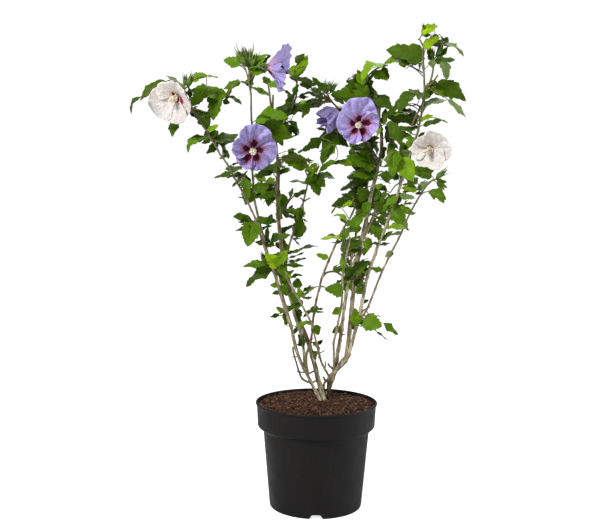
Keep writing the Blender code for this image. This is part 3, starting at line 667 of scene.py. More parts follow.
def part(points, quads, triangles=None, uv=None, tone=0.5, youth=0.0):
    """A Part from arrays of any shape, with one tone and one second number (youth on bark, painted shade on
    petals) for all its points or one for each.
    """
    points = np.asarray(points, float).reshape(-1, 3)
    count = len(points)
    if triangles is None:
        triangles = np.zeros((0, 3), int)
    if uv is None:
        uv = np.zeros((count, 2))
    spread = [np.broadcast_to(np.asarray(value, float).reshape(-1), (count,)) for value in (tone, youth)]
    return Part(points, quads.reshape(-1, 4), triangles.reshape(-1, 3), uv.reshape(-1, 2), *spread)


def joined(parts):
    """Several parts as one: points stacked, and face numbers moved on by the points before them."""
    starts = np.cumsum([0] + [len(each.points) for each in parts[:-1]])
    quads = np.concatenate([each.quads + start for each, start in zip(parts, starts)])
    triangles = np.concatenate([each.triangles + start for each, start in zip(parts, starts)])
    rest = [np.concatenate([getattr(each, field) for each in parts]) for field in ("uv", "tone", "youth")]
    return Part(np.concatenate([each.points for each in parts]), quads, triangles, *rest)


def make_piece(name, parts, surface, replaced=()):
    """Puts parts in one object at the origin, with its UV map, its tone numbers and its second numbers: youth
    on bark, painted shade on petals.
    """
    whole = joined(parts)
    corners = np.concatenate([whole.quads.ravel(), whole.triangles.ravel()]).astype(np.int32)
    sizes = np.concatenate([np.full(len(whole.quads), 4), np.full(len(whole.triangles), 3)])
    mesh = bpy.data.meshes.new(name)
    mesh.vertices.add(len(whole.points))
    mesh.vertices.foreach_set("co", whole.points.astype(np.float32).ravel())
    mesh.loops.add(len(corners))
    mesh.loops.foreach_set("vertex_index", corners)
    mesh.polygons.add(len(sizes))
    mesh.polygons.foreach_set("loop_start", (np.cumsum(sizes) - sizes).astype(np.int32))
    mesh.update(calc_edges=True)
    layer = mesh.uv_layers.new(name="UVMap")
    layer.data.foreach_set("uv", whole.uv[corners].astype(np.float32).ravel())
    for field in ("tone", "youth"):
        numbers = mesh.attributes.new(field, "FLOAT", "POINT")
        numbers.data.foreach_set("value", getattr(whole, field).astype(np.float32))
    mesh.validate()
    mesh.shade_smooth()
    mesh.materials.append(surface)
    made = bpy.data.objects.new(name, mesh)
    bpy.context.scene.collection.objects.link(made)
    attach(made, BODY)
    if replaced:
        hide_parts(*replaced)
    return made


def grid_faces(count, rows, columns, wrap=False):
    """Faces of `count` grids: each point joined to the next along its row and to the row after it."""
    across = np.arange(columns if wrap else columns - 1)
    beside = (across + 1) % columns
    row = np.arange(rows - 1)[:, None] * columns
    one = np.stack([row + across, row + beside, row + columns + beside, row + columns + across], -1)
    return one.reshape(1, -1, 4) + (np.arange(count) * rows * columns)[:, None, None]


def tubes(paths, radii, sides, tone=0.5, youth=0.0):
    """Tubes along paths: centre + radius x (side cos a + front sin a), with a point closing each end.

    `paths` is (tubes, steps, 3). `radii` is (tubes, steps) or (tubes, steps, sides).
    """
    count, steps, _ = paths.shape
    heading = unit(np.gradient(paths, axis=1))
    least = np.abs(heading.mean(1)).argmin(1)
    reference = np.eye(3)[least][:, None, :]
    side = unit(np.cross(heading, reference))
    front = np.cross(heading, side)
    angle = np.arange(sides) * math.tau / sides
    radii = radii if radii.ndim == 3 else radii[..., None]
    ring = side[:, :, None] * np.cos(angle)[:, None] + front[:, :, None] * np.sin(angle)[:, None]
    rings = paths[:, :, None] + ring * radii[..., None]
    travelled = np.linalg.norm(np.diff(paths, axis=1), axis=2).cumsum(1)
    travelled = np.concatenate([np.zeros((count, 1)), travelled], 1)
    turns = np.broadcast_to(angle / math.tau, rings.shape[:3])
    uv = np.stack([turns, np.broadcast_to(travelled[..., None], turns.shape)], -1)
    ends = np.stack([paths[:, 0], paths[:, -1]], 1)
    end_uv = np.stack([np.full((count, 2), 0.5), travelled[:, [0, -1]]], -1)
    body = count * steps * sides
    around = np.arange(sides)
    beside = (around + 1) % sides
    start = (np.arange(count) * steps * sides)[:, None]
    last = start + (steps - 1) * sides
    foot = np.broadcast_to(body + 2 * np.arange(count)[:, None], (count, sides))
    caps = [
        np.stack([start + beside, start + around, foot], -1),
        np.stack([last + around, last + beside, foot + 1], -1),
    ]
    widen = [
        np.broadcast_to(np.asarray(value, float).reshape(-1, 1, 1), (count, steps, sides))
        if np.ndim(value) < 2 else np.broadcast_to(np.asarray(value, float)[..., None], (count, steps, sides))
        for value in (tone, youth)
    ]
    numbers = [np.concatenate([wide.ravel(), wide[:, [0, -1], 0].ravel()]) for wide in widen]
    points = np.concatenate([rings.reshape(-1, 3), ends.reshape(-1, 3)])
    places = np.concatenate([uv.reshape(-1, 2), end_uv.reshape(-1, 2)])
    return part(points, grid_faces(count, steps, sides, True), np.concatenate(caps), places, *numbers)


def turned(profile, segments, lift=None):
    """A closed solid of revolution: each (radius, height) carried round Z. `lift` may move its points."""
    profile = np.asarray(profile, float)
    angle = np.arange(segments) * math.tau / segments
    radius, height = profile[1:-1, 0], profile[1:-1, 1]
    grid = np.stack([
        radius[:, None] * np.cos(angle),
        radius[:, None] * np.sin(angle),
        np.broadcast_to(height[:, None], (len(radius), segments)),
    ], -1)
    if lift:
        grid = lift(grid)
    poles = np.array([(0, 0, profile[0, 1]), (0, 0, profile[-1, 1])])
    around = np.arange(segments)
    beside = (around + 1) % segments
    last = (len(radius) - 1) * segments
    end = len(radius) * segments
    caps = [
        np.stack([beside, around, np.full(segments, end)], -1),
        np.stack([last + around, last + beside, np.full(segments, end + 1)], -1),
    ]
    run = np.linspace(0, 1, len(radius))
    uv = np.stack(np.broadcast_arrays(around / segments, run[:, None]), -1)
    uv = np.concatenate([uv.reshape(-1, 2), [(0.5, 0), (0.5, 1)]])
    points = np.concatenate([grid.reshape(-1, 3), poles])
    return part(points, grid_faces(1, len(radius), segments, True), np.concatenate(caps), uv)


# ---- Materials ------------------------------------------------------------------------------------

BLACK = (0.0, 0.0, 0.0)
# SHADE_DEPTH is how far painted shade darkens a petal whose shade number is 1.
SHADE_DEPTH = 0.5
SIDE_VEINS = 7.0


def node(tree, kind, sockets=(), **settings):
    """A node with its settings and socket values. A value that is a socket is linked."""
    made = tree.nodes.new(kind)
    for key, value in settings.items():
        setattr(made, key, value)
    for key, value in dict(sockets).items():
        if isinstance(value, bpy.types.NodeSocket):
            tree.links.new(value, made.inputs[key])
        else:
            made.inputs[key].default_value = value
    return made


def maths(tree, operation, first, second=0.0):
    """One sum of two values, or a function of the first."""
    return node(tree, "ShaderNodeMath", {0: first, 1: second}, operation=operation).outputs[0]


def times(tree, first, second):
    """The product of two values."""
    return maths(tree, "MULTIPLY", first, second)


def scaled(colour, factor, lift=0.0):
    """A colour made lighter or darker: channel x factor + lift, and no more than 1."""
    return tuple(min(1.0, factor * channel + lift) for channel in colour)


def mixed(tree, share, first, second):
    """A mix of two colours: first x (1 - share) + second x share."""
    made = node(tree, "ShaderNodeMix", {0: share}, data_type="RGBA")
    for index, value in ((6, first), (7, second)):
        if isinstance(value, bpy.types.NodeSocket):
            tree.links.new(value, made.inputs[index])
        else:
            made.inputs[index].default_value = (*value[:3], 1.0)
    return made.outputs[2]


def between(tree, value, low, high, to_low=0.0, to_high=1.0):
    """Maps low..high smoothly on to to_low..to_high, and holds it outside."""
    sockets = {0: value, 1: low, 2: high, 3: to_low, 4: to_high}
    return node(tree, "ShaderNodeMapRange", sockets, interpolation_type="SMOOTHSTEP").outputs[0]


def noise(tree, where, scale, detail=3.0, rough=0.55):
    """Fractal noise at a place, from 0 to 1."""
    sockets = {"Vector": where, "Scale": scale, "Detail": detail, "Roughness": rough}
    return node(tree, "ShaderNodeTexNoise", sockets).outputs[0]


def stretched(tree, where, scale):
    """A place with each of its axes multiplied by its own scale."""
    return node(tree, "ShaderNodeMapping", {"Vector": where, "Scale": scale}).outputs[0]


def blank(name, roughness, specular):
    """A new Principled surface: (material, tree, shader, object place, UV place, tone, second number). The
    second number is youth on bark and painted shade on petals.
    """
    surface = bpy.data.materials.new(name)
    surface.use_nodes = True
    tree = surface.node_tree
    shader = tree.nodes["Principled BSDF"]
    shader.inputs["Roughness"].default_value = roughness
    shader.inputs["Specular IOR Level"].default_value = specular
    coordinates = node(tree, "ShaderNodeTexCoord")
    numbers = [
        node(tree, "ShaderNodeAttribute", attribute_name=field).outputs["Fac"] for field in ("tone", "youth")
    ]
    return surface, tree, shader, coordinates.outputs["Object"], coordinates.outputs["UV"], *numbers


def finish_surface(tree, shader, colour, height, distance, roughness=None):
    """Links the colour, the relief and, where there is one, the roughness to the shader."""
    tree.links.new(colour, shader.inputs["Base Color"])
    bump = node(tree, "ShaderNodeBump", {"Height": height, "Distance": distance})
    tree.links.new(bump.outputs[0], shader.inputs["Normal"])
    if roughness is not None:
        tree.links.new(roughness, shader.inputs["Roughness"])


def leaf_surface(name, colour, underside):
    """Leaf: pale midrib and side veins, quilted between them, mottled, paler and greyer on its underside."""
    surface, tree, shader, place, uv, tone, _ = blank(name, 0.42, 0.06)
    apart = node(tree, "ShaderNodeSeparateXYZ", {0: uv})
    aside = maths(tree, "ABSOLUTE", maths(tree, "SUBTRACT", apart.outputs[0], 0.5))
    along = maths(tree, "FRACT", times(tree, apart.outputs[1], SIDE_VEINS))
    side_vein = maths(tree, "ABSOLUTE", maths(tree, "SUBTRACT", along, 0.5))
    midrib = between(tree, aside, 0.0, 0.045, 1.0, 0.0)
    vein = maths(tree, "MAXIMUM", midrib, between(tree, side_vein, 0.0, 0.10, 0.55, 0.0))
    mottle = noise(tree, place, 150.0)
    patch = noise(tree, place, 45.0, 2.0)
    deep = scaled(colour, 0.50)
    bright = scaled(colour, 1.45, 0.004)
    body = mixed(tree, between(tree, mottle, 0.30, 0.70), scaled(colour, 0.72), colour)
    body = mixed(tree, between(tree, patch, 0.52, 0.72, 0.0, 0.7), body, bright)
    body = mixed(tree, between(tree, tone, 0.0, 0.45, 0.6, 0.0), body, deep)
    body = mixed(tree, between(tree, tone, 0.55, 1.0, 0.0, 0.7), body, bright)
    body = mixed(tree, times(tree, vein, 0.30), body, scaled(colour, 2.1, 0.01))
    below = node(tree, "ShaderNodeNewGeometry").outputs["Backfacing"]
    body = mixed(tree, times(tree, below, 0.5), body, underside)
    height = maths(tree, "SUBTRACT", times(tree, mottle, 0.35), vein)
    finish_surface(tree, shader, body, height, 0.0006, between(tree, mottle, 0.3, 0.7, 0.34, 0.52))
    return surface


def stalk_surface(name, colour, brown):
    """Young twig or leaf stalk: green to brown by its tone, with fine streaks along it."""
    surface, tree, shader, _, uv, tone, _ = blank(name, 0.6, 0.3)
    streak = noise(tree, stretched(tree, uv, (5.0, 120.0, 1.0)), 1.0, 4.0)
    body = mixed(tree, tone, brown, colour)
    body = mixed(tree, between(tree, streak, 0.35, 0.75, 0.0, 0.5), body, scaled(colour, 0.5))
    finish_surface(tree, shader, body, streak, 0.0004)
    return surface


def bark_surface(colours):
    """Bark: long grey-brown fissures on a pale ground, pale lenticels, greener on young wood."""
    surface, tree, shader, place, uv, tone, youth = blank("hibiscus_bark", 0.8, 0.2)
    fissure = noise(tree, stretched(tree, uv, (7.0, 70.0, 1.0)), 1.0, 6.0, 0.65)
    patch = noise(tree, stretched(tree, place, (1.0, 1.0, 0.35)), 85.0, 3.0)
    body = mixed(tree, tone, colours.bark_brown, colours.bark_pale)
    body = mixed(tree, between(tree, patch, 0.42, 0.66, 0.0, 0.55), body, scaled(colours.bark_brown, 0.45))
    body = mixed(tree, between(tree, fissure, 0.48, 0.62, 0.0, 0.75), body, (0.036, 0.024, 0.015))
    dotted = stretched(tree, uv, (9.0, 260.0, 1.0))
    lenticel = node(tree, "ShaderNodeTexVoronoi", {"Vector": dotted, "Scale": 1.0})
    spot = between(tree, lenticel.outputs["Distance"], 0.12, 0.24, 0.6, 0.0)
    streak = noise(tree, stretched(tree, uv, (5.0, 38.0, 1.0)), 1.0, 3.0, 0.6)
    body = mixed(tree, between(tree, streak, 0.54, 0.62, 0.0, 0.75), body, scaled(colours.bark_pale, 1.25))
    body = mixed(tree, spot, body, (0.55, 0.45, 0.32))
    body = mixed(tree, times(tree, youth, 0.85), body, colours.young_bark)
    height = maths(tree, "SUBTRACT", spot, fissure)
    finish_surface(tree, shader, body, height, 0.0009, between(tree, fissure, 0.3, 0.7, 0.65, 0.92))
    return surface


def petal_surface(name, colour, halo, eye, streaks, depth):
    """Inside of a petal: a dark blotch that runs out in streaks, a flushed halo, fine veins, a painted
    highlight on its crinkles and rim, and painted shade that darkens each petal by its shade number.
    """
    surface, tree, shader, place, uv, tone, shade = blank(name, 0.75, 0.2)
    apart = node(tree, "ShaderNodeSeparateXYZ", {0: uv})
    across = maths(tree, "SUBTRACT", apart.outputs[0], 0.5)
    along = apart.outputs[1]
    vein = noise(tree, stretched(tree, uv, (22.0, 1.8, 1.0)), 1.0, 5.0, 0.6)
    crinkle = noise(tree, place, 170.0, 3.0, 0.6)
    out = maths(tree, "DIVIDE", along, tone)
    spot_v = maths(tree, "DIVIDE", maths(tree, "SUBTRACT", out, 0.325), 0.145)
    spot_u = maths(tree, "DIVIDE", across, 0.33)
    square = maths(tree, "ADD", times(tree, spot_v, spot_v), times(tree, spot_u, spot_u))
    ragged = maths(tree, "ADD", square, times(tree, maths(tree, "SUBTRACT", vein, 0.5), -1.8))
    blotch = between(tree, ragged, 0.80, 1.15, 1.0, 0.0)
    streak = times(tree, between(tree, vein, 0.44, 0.56), between(tree, out, 0.40, 0.66, streaks, 0.0))
    streak = times(tree, streak, between(tree, out, 0.20, 0.34))
    flushed = times(tree, between(tree, out, 0.36, 0.70, 1.0, 0.0), between(tree, vein, 0.2, 0.6, 0.65, 1.0))
    # Painted highlight: `pale` lightens the petal on its crinkles and along its rim, where the ruffled petal
    # catches the light; the crinkle mottle is partly the petal's own uneven tone.
    pale = scaled(colour, 1.25, 0.05)
    body = mixed(tree, between(tree, vein, 0.38, 0.66, 0.0, depth), colour, scaled(colour, 0.68))
    body = mixed(tree, between(tree, crinkle, 0.46, 0.66, 0.0, 0.75), body, pale)
    body = mixed(tree, between(tree, along, 0.90, 1.0, 0.0, 0.35), body, pale)
    body = mixed(tree, flushed, body, halo)
    body = mixed(tree, streak, body, eye)
    body = mixed(tree, between(tree, along, 0.10, 0.17, 0.85, 0.0), body, (0.72, 0.62, 0.50))
    body = mixed(tree, blotch, body, eye)
    # Painted shade: each petal is darkened towards black by its shade number.
    body = mixed(tree, times(tree, shade, SHADE_DEPTH), body, BLACK)
    finish_surface(tree, shader, body, maths(tree, "ADD", vein, crinkle), 0.0014)
    return surface


def petal_back_surface(name, colour, base, depth):
    """Outside of a petal: flushed at its base, paler veins that fan out, darker between them, and painted
    shade that darkens each petal by its shade number.
    """
    surface, tree, shader, place, uv, _, shade = blank(name, 0.75, 0.2)
    along = node(tree, "ShaderNodeSeparateXYZ", {0: uv}).outputs[1]
    vein = noise(tree, stretched(tree, uv, (20.0, 1.6, 1.0)), 1.0, 5.0, 0.6)
    crinkle = noise(tree, place, 150.0, 3.0, 0.6)
    body = mixed(tree, between(tree, vein, 0.38, 0.64, 0.0, 0.55), scaled(colour, 0.80), colour)
    body = mixed(tree, between(tree, crinkle, 0.48, 0.68, 0.0, depth), body, scaled(colour, 0.62))
    body = mixed(tree, between(tree, along, 0.12, 0.58, 0.9, 0.0), body, base)
    # Painted shade: each petal is darkened towards black by its shade number.
    body = mixed(tree, times(tree, shade, SHADE_DEPTH), body, BLACK)
    finish_surface(tree, shader, body, maths(tree, "ADD", vein, crinkle), 0.0014)
    return surface


def plain_surface(name, colour, darker, scale, roughness=0.7, bump=0.0004):
    """Colour mottled with a darker one by noise at `scale`, with the same noise as relief."""
    surface, tree, shader, place, _, tone, _ = blank(name, roughness, 0.3)
    mottle = noise(tree, place, scale, 4.0)
    body = mixed(tree, between(tree, mottle, 0.35, 0.65), darker, colour)
    body = mixed(tree, times(tree, tone, 0.4), body, scaled(colour, 0.5))
    finish_surface(tree, shader, body, mottle, bump)
    return surface


def pot_surface(colours):
    """Moulded black plastic: fine satin grain, faint upright rubs and a little dust in patches."""
    surface, tree, shader, place, _, _, _ = blank("black_pot_plastic", 0.5, 0.14)
    grain = noise(tree, place, 1400.0, 2.0)
    rub = noise(tree, stretched(tree, place, (60.0, 60.0, 7.0)), 1.0, 4.0)
    dust = noise(tree, place, 38.0, 5.0, 0.6)
    colour = tuple(colours.pot_black)
    body = mixed(tree, between(tree, rub, 0.45, 0.75, 0.0, 0.5), colour, scaled(colour, 1.5))
    body = mixed(tree, between(tree, dust, 0.56, 0.80, 0.0, 0.12), body, (0.05, 0.042, 0.038))
    height = maths(tree, "ADD", times(tree, grain, 0.3), times(tree, rub, 0.25))
    finish_surface(tree, shader, body, height, 0.00035, between(tree, dust, 0.3, 0.75, 0.44, 0.62))
    return surface


def soil_surface(colours):
    """Bark compost: dark peat with red-brown fibres and pale crumbs."""
    surface, tree, shader, place, _, _, _ = blank("bark_compost", 0.95, 0.15)
    coarse = noise(tree, place, 130.0, 6.0, 0.7)
    fine = noise(tree, place, 520.0, 4.0, 0.65)
    body = mixed(tree, between(tree, coarse, 0.40, 0.62), colours.soil_dark, colours.soil_red)
    body = mixed(tree, between(tree, fine, 0.60, 0.72, 0.0, 0.6), body, colours.soil_pale)
    finish_surface(tree, shader, body, maths(tree, "ADD", coarse, fine), 0.0022)
    return surface


# ---- Limbs, twigs and the places of leaves --------------------------------------------------------


def bend_at(bends, fraction):
    """Sideways bow along a limb: a smooth curve through its bends, zero at both ends."""
    values = np.array((0.0, *bends, 0.0))
    place = fraction * (len(values) - 1)
    left = np.minimum(place.astype(int), len(values) - 2)
    ease = place - left
    start, end = values[left], values[left + 1]
    slope_start = (end - values[np.maximum(left - 1, 0)]) / 2
    slope_end = (values[np.minimum(left + 2, len(values) - 1)] - start) / 2
    return (
        start * (2 * ease**3 - 3 * ease**2 + 1)
        + end * (3 * ease**2 - 2 * ease**3)
        + slope_start * (ease**3 - 2 * ease**2 + ease)
        + slope_end * (ease**3 - ease**2)
    )


def limb_named(name):
    """The limb of that name."""
    return next(limb for limb in LIMBS if limb.name == name)


def limb_line(limb, fraction):
    """Points of a limb's axis: foot + (tip - foot) x fraction, bowed along X."""
    fraction = np.atleast_1d(np.asarray(fraction, float))
    foot = np.array(limb.foot) if limb.foot else limb_line(limb_named(limb.parent), limb.along)[0]
    line = foot + (np.array(limb.tip) - foot) * fraction[:, None]
    line[:, 0] += bend_at(limb.bends, fraction)
    return line


def limb_radii(limb, fraction, length):
    """Radius along a limb: tip + (foot - tip)(1 - f)^power, with a flare that dies away above the soil."""
    foot, tip = limb.radii
    radius = tip + (foot - tip) * (1 - fraction) ** TAPER_POWER
    if limb.foot:
        radius = radius + foot * FLARE * np.exp(-fraction * length / FLARE_LENGTH)
    return radius


# A carrier is a line that leaves can grow from: a limb or a twig.
Carrier = namedtuple("Carrier", "line radius pale")


def nearest_place(carriers, pixel):
    """(carrier number, sample number) whose pixel is nearest to `pixel`."""
    gaps = [np.linalg.norm(in_view(each.line) - pixel, axis=1) for each in carriers]
    best = int(np.argmin([gap.min() for gap in gaps]))
    return best, int(gaps[best].argmin())


@lru_cache(maxsize=None)
def carriers():
    """Every limb, then every twig that shows, as lines of LIMB_SAMPLES points."""
    steps = np.linspace(0, 1, LIMB_SAMPLES)
    found = [Carrier(limb_line(limb, steps), limb.radii[1], limb.pale) for limb in LIMBS]
    limbs = list(found)
    for twig in TWIGS:
        carrier, sample = nearest_place(limbs, np.array(twig.places[0], float))
        foot = limbs[carrier].line[sample]
        depths = foot[1] + twig.reach * np.linspace(0, 1, len(twig.places))
        places = at_depth(np.array(twig.places, float), depths)
        places[0] = foot
        radius = twig.width * METRES_PER_PIXEL / 2
        found.append(Carrier(through(places, LIMB_SAMPLES // 4), radius, twig.pale))
    return tuple(found)


def foliage_boxes():
    """Centres and half sizes of the part's masses of foliage."""
    names = sorted(name for name in frame["nodes"] if name.startswith("foliage_"))
    corners = np.array([[tuple(corner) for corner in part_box(name)] for name in names])
    return corners.mean(1), (corners[:, 1] - corners[:, 0]) / 2


@lru_cache(maxsize=None)
def bloom_places():
    """Throat of each bloom, the way it faces, and the point its stalk leaves from."""
    places = []
    for bloom in BLOOMS:
        carrier, sample = nearest_place(carriers(), np.array((bloom.x, bloom.y), float))
        foot = carriers()[carrier].line[max(sample - 6, 0)]
        throat = at_depth((bloom.x, bloom.y), foot[1] - bloom.ahead)
        sight = unit(CAMERA_PLACE - throat)
        right = unit(np.cross(UP, sight))
        turn, lift = math.radians(bloom.turn), math.radians(bloom.lift)
        level = sight * math.cos(turn) + right * math.sin(turn)
        facing = level * math.cos(lift) + np.cross(sight, right) * math.sin(lift)
        places.append((throat, unit(facing), foot))
    return tuple(places)


# Leaves as arrays: bases, tips, half widths, across and normal directions, bow vectors, and what they are.
Blades = namedtuple("Blades", "base tip half across normal bow arch fold kind tint tone foot")
# Painted shade and painted light: the dark tint is a darker copy of the leaf colour, partly for old leaves
# and partly for leaves that lie in shade, and the light tint is a lighter copy for leaves in full light.
# Young and grey are the leaves' own colours.
TINTS = ("dark", "mid", "light", "young", "grey")
LOBED, PLAIN = 0, 1
# Width over length of a leaf seen flat. One that is seen narrower than NARROW_BELOW is plain.
LOBED_RATIO = 0.78
PLAIN_RATIO = 0.50
NARROW_BELOW = 0.33
# A leaf may hang from another's base where that is nearer, at SPRAY_REACH times the gap and SPRAY_COST
# pixels. Its depth wanders from its carrier's, and comes forward by FORWARD of its stalk's length as seen.
SPRAY_REACH = 1.1
SPRAY_COST = 1.5
DEPTH_WANDER = (-0.009, 0.006)
FORWARD = 0.08
FRONT_GAP = 0.012
# Depth from a leaf's base to its tip over its seen length, its arch over its length, and its fold.
TIP_DEPTH = (-0.38, 0.30)
SHOWN_ARCH = (0.02, 0.13)
SHOWN_FOLD = (0.08, 0.42)
MOST_EDGE_ON = 0.12
FACING_UP = 0.85
LEAF_COVER = 0.42
# A bloom hides this share of its longest petal's reach. What is behind it clears its plane by BLOOM_GAP, with
# the plane's slope held within BLOOM_SLOPE.
BLOOM_COVER = 0.92
BLOOM_GAP = 0.014
BLOOM_SLOPE = (-0.02, 0.05)
LEAST_FACING = 0.35
# Leaves with painted light come forward and leaves with painted shade go back.
TINT_DEPTH = {"dark": 0.006, "mid": 0.0, "light": -0.004, "young": -0.006, "grey": -0.002}
SEEN_WIDER = 1.19
FRONT = CAD_BOX[0].y - 0.004
BACK = CAD_BOX[1].y


@lru_cache(maxsize=None)
def leaf_pixels():
    """Bases, tips, widths and bows of the leaves that show, in pixels."""
    numbers = np.array([leaf[1:] for leaf in LEAVES], float)
    return numbers[:, 0:2], numbers[:, 2:4], numbers[:, 4], numbers[:, 5]


@lru_cache(maxsize=None)
def sprays():
    """Where each leaf that shows hangs: (foot, base, how many leaves its stalk carries, itself included).

    The nearest unhung leaf is hung next, from a limb, a twig or the base of a leaf already hung, whichever
    is closest in the view. So leaves far from a limb share twigs, and depths wander a little at each step.
    """
    rng = np.random.default_rng(SEED)
    start = leaf_pixels()[0]
    count = len(start)
    foot, base = np.empty((count, 3)), np.empty((count, 3))
    cost, above = np.empty(count), np.full(count, -1)
    for index, pixel in enumerate(start):
        carrier, sample = nearest_place(carriers(), pixel)
        line = carriers()[carrier].line
        cost[index] = np.linalg.norm(in_view(line[sample]) - pixel)
        foot[index] = line[max(sample - int(rng.integers(1, 5)), 0)]
    hung = np.zeros(count, bool)
    order = []
    for _ in range(count):
        index = int(np.where(hung, np.inf, cost).argmin())
        hung[index] = True
        order.append(index)
        depth = foot[index, 1] + rng.uniform(*DEPTH_WANDER) - FORWARD * cost[index] * METRES_PER_PIXEL
        depth += TINT_DEPTH[LEAVES[index].tint]
        depth = np.clip(depth, FRONT + FRONT_GAP, BACK)
        base[index] = at_depth(start[index], depth)
        reach = np.linalg.norm(start - start[index], axis=1) * SPRAY_REACH + SPRAY_COST
        closer = (reach < cost) & ~hung
        cost[closer] = reach[closer]
        foot[closer] = base[index]
        above[closer] = index
    load = np.ones(count)
    for index in reversed(order):
        if above[index] >= 0:
            load[above[index]] += load[index]
    return foot, base, load


def behind_blooms(pixels):
    """The least depth (Y) at which each pixel is behind every bloom that covers it: the plane through the
    throat across the way the bloom faces, and a little more."""
    least = np.full(len(pixels), FRONT)
    for bloom, (throat, facing, _) in zip(BLOOMS, bloom_places()):
        reach = np.hypot(pixels[:, 0] - bloom.x, pixels[:, 1] - bloom.y)
        place = at_depth(pixels, np.full(len(pixels), throat[1])) - throat
        slope = (facing[0] * place[:, 0] + facing[2] * place[:, 2]) / max(-facing[1], LEAST_FACING)
        covered = reach < BLOOM_COVER * max(bloom.petals) / METRES_PER_PIXEL
        behind = throat[1] + np.clip(slope, *BLOOM_SLOPE) + BLOOM_GAP
        least = np.where(covered, np.maximum(least, behind), least)
    return least


def shown_blades():
    """Leaves that show one by one. Each base hangs at the depth of what carries it, and a narrow one is
    turned edge-on: cos(turn) = seen width / own width."""
    rng = np.random.default_rng(SEED + 2)
    count = len(LEAVES)
    start, end, width, bend = leaf_pixels()
    foot, base, _ = sprays()
    depth = np.maximum(base[:, 1], behind_blooms(start))
    seen_length = np.linalg.norm(end - start, axis=1) * METRES_PER_PIXEL
    base = at_depth(start, depth)
    tip_depth = np.clip(depth + rng.uniform(*TIP_DEPTH, count) * seen_length, FRONT, BACK)
    tip = at_depth(end, np.maximum(tip_depth, behind_blooms(end)))
    way = unit(tip - base)
    view = unit((base + tip) / 2 - CAMERA_PLACE)
    left = unit(np.cross(way, view))
    toward = np.cross(left, way)
    length = np.linalg.norm(tip - base, axis=1)
    seen = width * METRES_PER_PIXEL * SEEN_WIDER
    kind = np.where(seen / seen_length < NARROW_BELOW, PLAIN, LOBED)
    full = np.where(kind == LOBED, LOBED_RATIO, PLAIN_RATIO) * length
    turn = np.arccos(np.clip(seen / full, MOST_EDGE_ON, 1.0))
    face = -np.sign(np.einsum("ij,ij->i", toward, view))[:, None] * toward
    rise = np.sign(left[:, 2]) * np.where(rng.random(count) < FACING_UP, 1, -1)
    turn = turn * np.where(rise == 0, 1, rise)
    normal = face * np.cos(turn)[:, None] + left * np.sin(turn)[:, None]
    across = np.cross(way, normal)
    half = np.maximum(seen, full) / 2
    tint = np.array([TINTS.index(leaf.tint) for leaf in LEAVES])
    arch = rng.uniform(*SHOWN_ARCH, count) * length
    sideways = bend * METRES_PER_PIXEL - arch * (normal * left).sum(-1)
    bow = left * sideways[:, None]
    fold = rng.uniform(*SHOWN_FOLD, count) * np.cos(turn)
    tone = rng.uniform(0.1, 0.9, count)
    return Blades(base, tip, half, across, normal, bow, arch, fold, kind, tint, tone, foot)


def outside_sprays(points):
    """(how many pixels each point lies outside the nearest leaf that shows, that leaf's depth). The first is
    its distance from that leaf's midrib, less most of the leaf's half width."""
    pixels = in_view(points)[:, None]
    start, end, width, bend = leaf_pixels()
    way = end - start
    share = np.clip(((pixels - start) * way).sum(-1) / (way**2).sum(-1), 0, 1)
    left = unit(np.stack([way[:, 1], -way[:, 0]], -1))
    bow = bend[:, None] * left
    midrib = start + way * share[..., None] + bow * (4 * share * (1 - share))[..., None]
    gap = np.linalg.norm(pixels - midrib, axis=-1) - LEAF_COVER * width
    nearest = gap.argmin(1)
    return gap.min(1), sprays()[1][nearest, 1]


def beside_limbs(points):
    """How many pixels each point lies from the nearest limb or twig."""
    pixels = in_view(points)
    lines = np.concatenate([in_view(each.line[::3]) for each in carriers()])
    return np.array([np.hypot(*(lines - pixel).T).min() for pixel in pixels])


GOLDEN_ANGLE = math.radians(137.5)
# A box holds this many litres for each cubic metre of its half sizes multiplied together.
LITRES = 8000
LEAVES_PER_LITRE = 60
SHOOT_STEPS = 7
# A shoot ends at this share of the mass's half size. KEPT_BACK of them end in its back half.
SHOOT_REACH = (0.45, 0.80)
KEPT_BACK = 0.72
SHOOT_KNEE = 0.45
SHOOT_RISE = 0.22
GROWN_STALK = (0.006, 0.016)
SHORTEST_LEAF = 0.012
# Pixels by which a hidden leaf may pass the leaves that show, by which a shoot may pass them, by which a limb
# hides what is beside it, and round a bloom's throat where nothing may come in front.
OVERHANG = 1.1
BARE_SHOOT = 0.6
LIMB_COVER = 2.0
CLEAR_OF_BLOOM = 30
BEHIND_LEAF = 0.004
BEHIND_BLOOM = 0.02
LOBED_SHARE = 0.72
TINT_SHARES = (0.38, 0.36, 0.14, 0.05, 0.07)


def shoots_in_masses(rng, per_litre):
    """Shoots that leave the limb where it passes a mass and curve to a seeded point inside it: (lines, boxes
    of their masses, sizes of their leaves, mass numbers)."""
    limbs = carriers()[: len(LIMBS)]
    starts, ends, boxes, sizes, owners = [], [], [], [], []
    for number, (centre, half) in enumerate(zip(*foliage_boxes())):
        gaps = [np.linalg.norm((each.line - centre) / half, axis=1) for each in limbs]
        nearest = int(np.argmin([gap.min() for gap in gaps]))
        limb, near = limbs[nearest].line, int(gaps[nearest].argmin())
        for _ in range(max(2, round(LITRES * half.prod() * per_litre))):
            sample = np.clip(near + int(rng.integers(-9, 8)), 0, len(limb) - 1)
            ball = unit(rng.normal(size=3)) * rng.uniform(*SHOOT_REACH)
            ball[1] = abs(ball[1]) * 1.05 if rng.random() < KEPT_BACK else ball[1]
            starts.append(limb[sample])
            ends.append(centre + half * ball)
            boxes.append((centre - half, centre + half))
            sizes.append(min(1.0, 0.62 + half.max() * 9))
            owners.append(number)
    starts, ends, boxes, sizes, owners = (np.array(each) for each in (starts, ends, boxes, sizes, owners))
    rise = UP * SHOOT_RISE * np.linalg.norm(ends - starts, axis=1)[:, None]
    middle = starts + (ends - starts) * SHOOT_KNEE + rise
    return arcs(starts, middle, ends, SHOOT_STEPS), boxes, sizes, owners


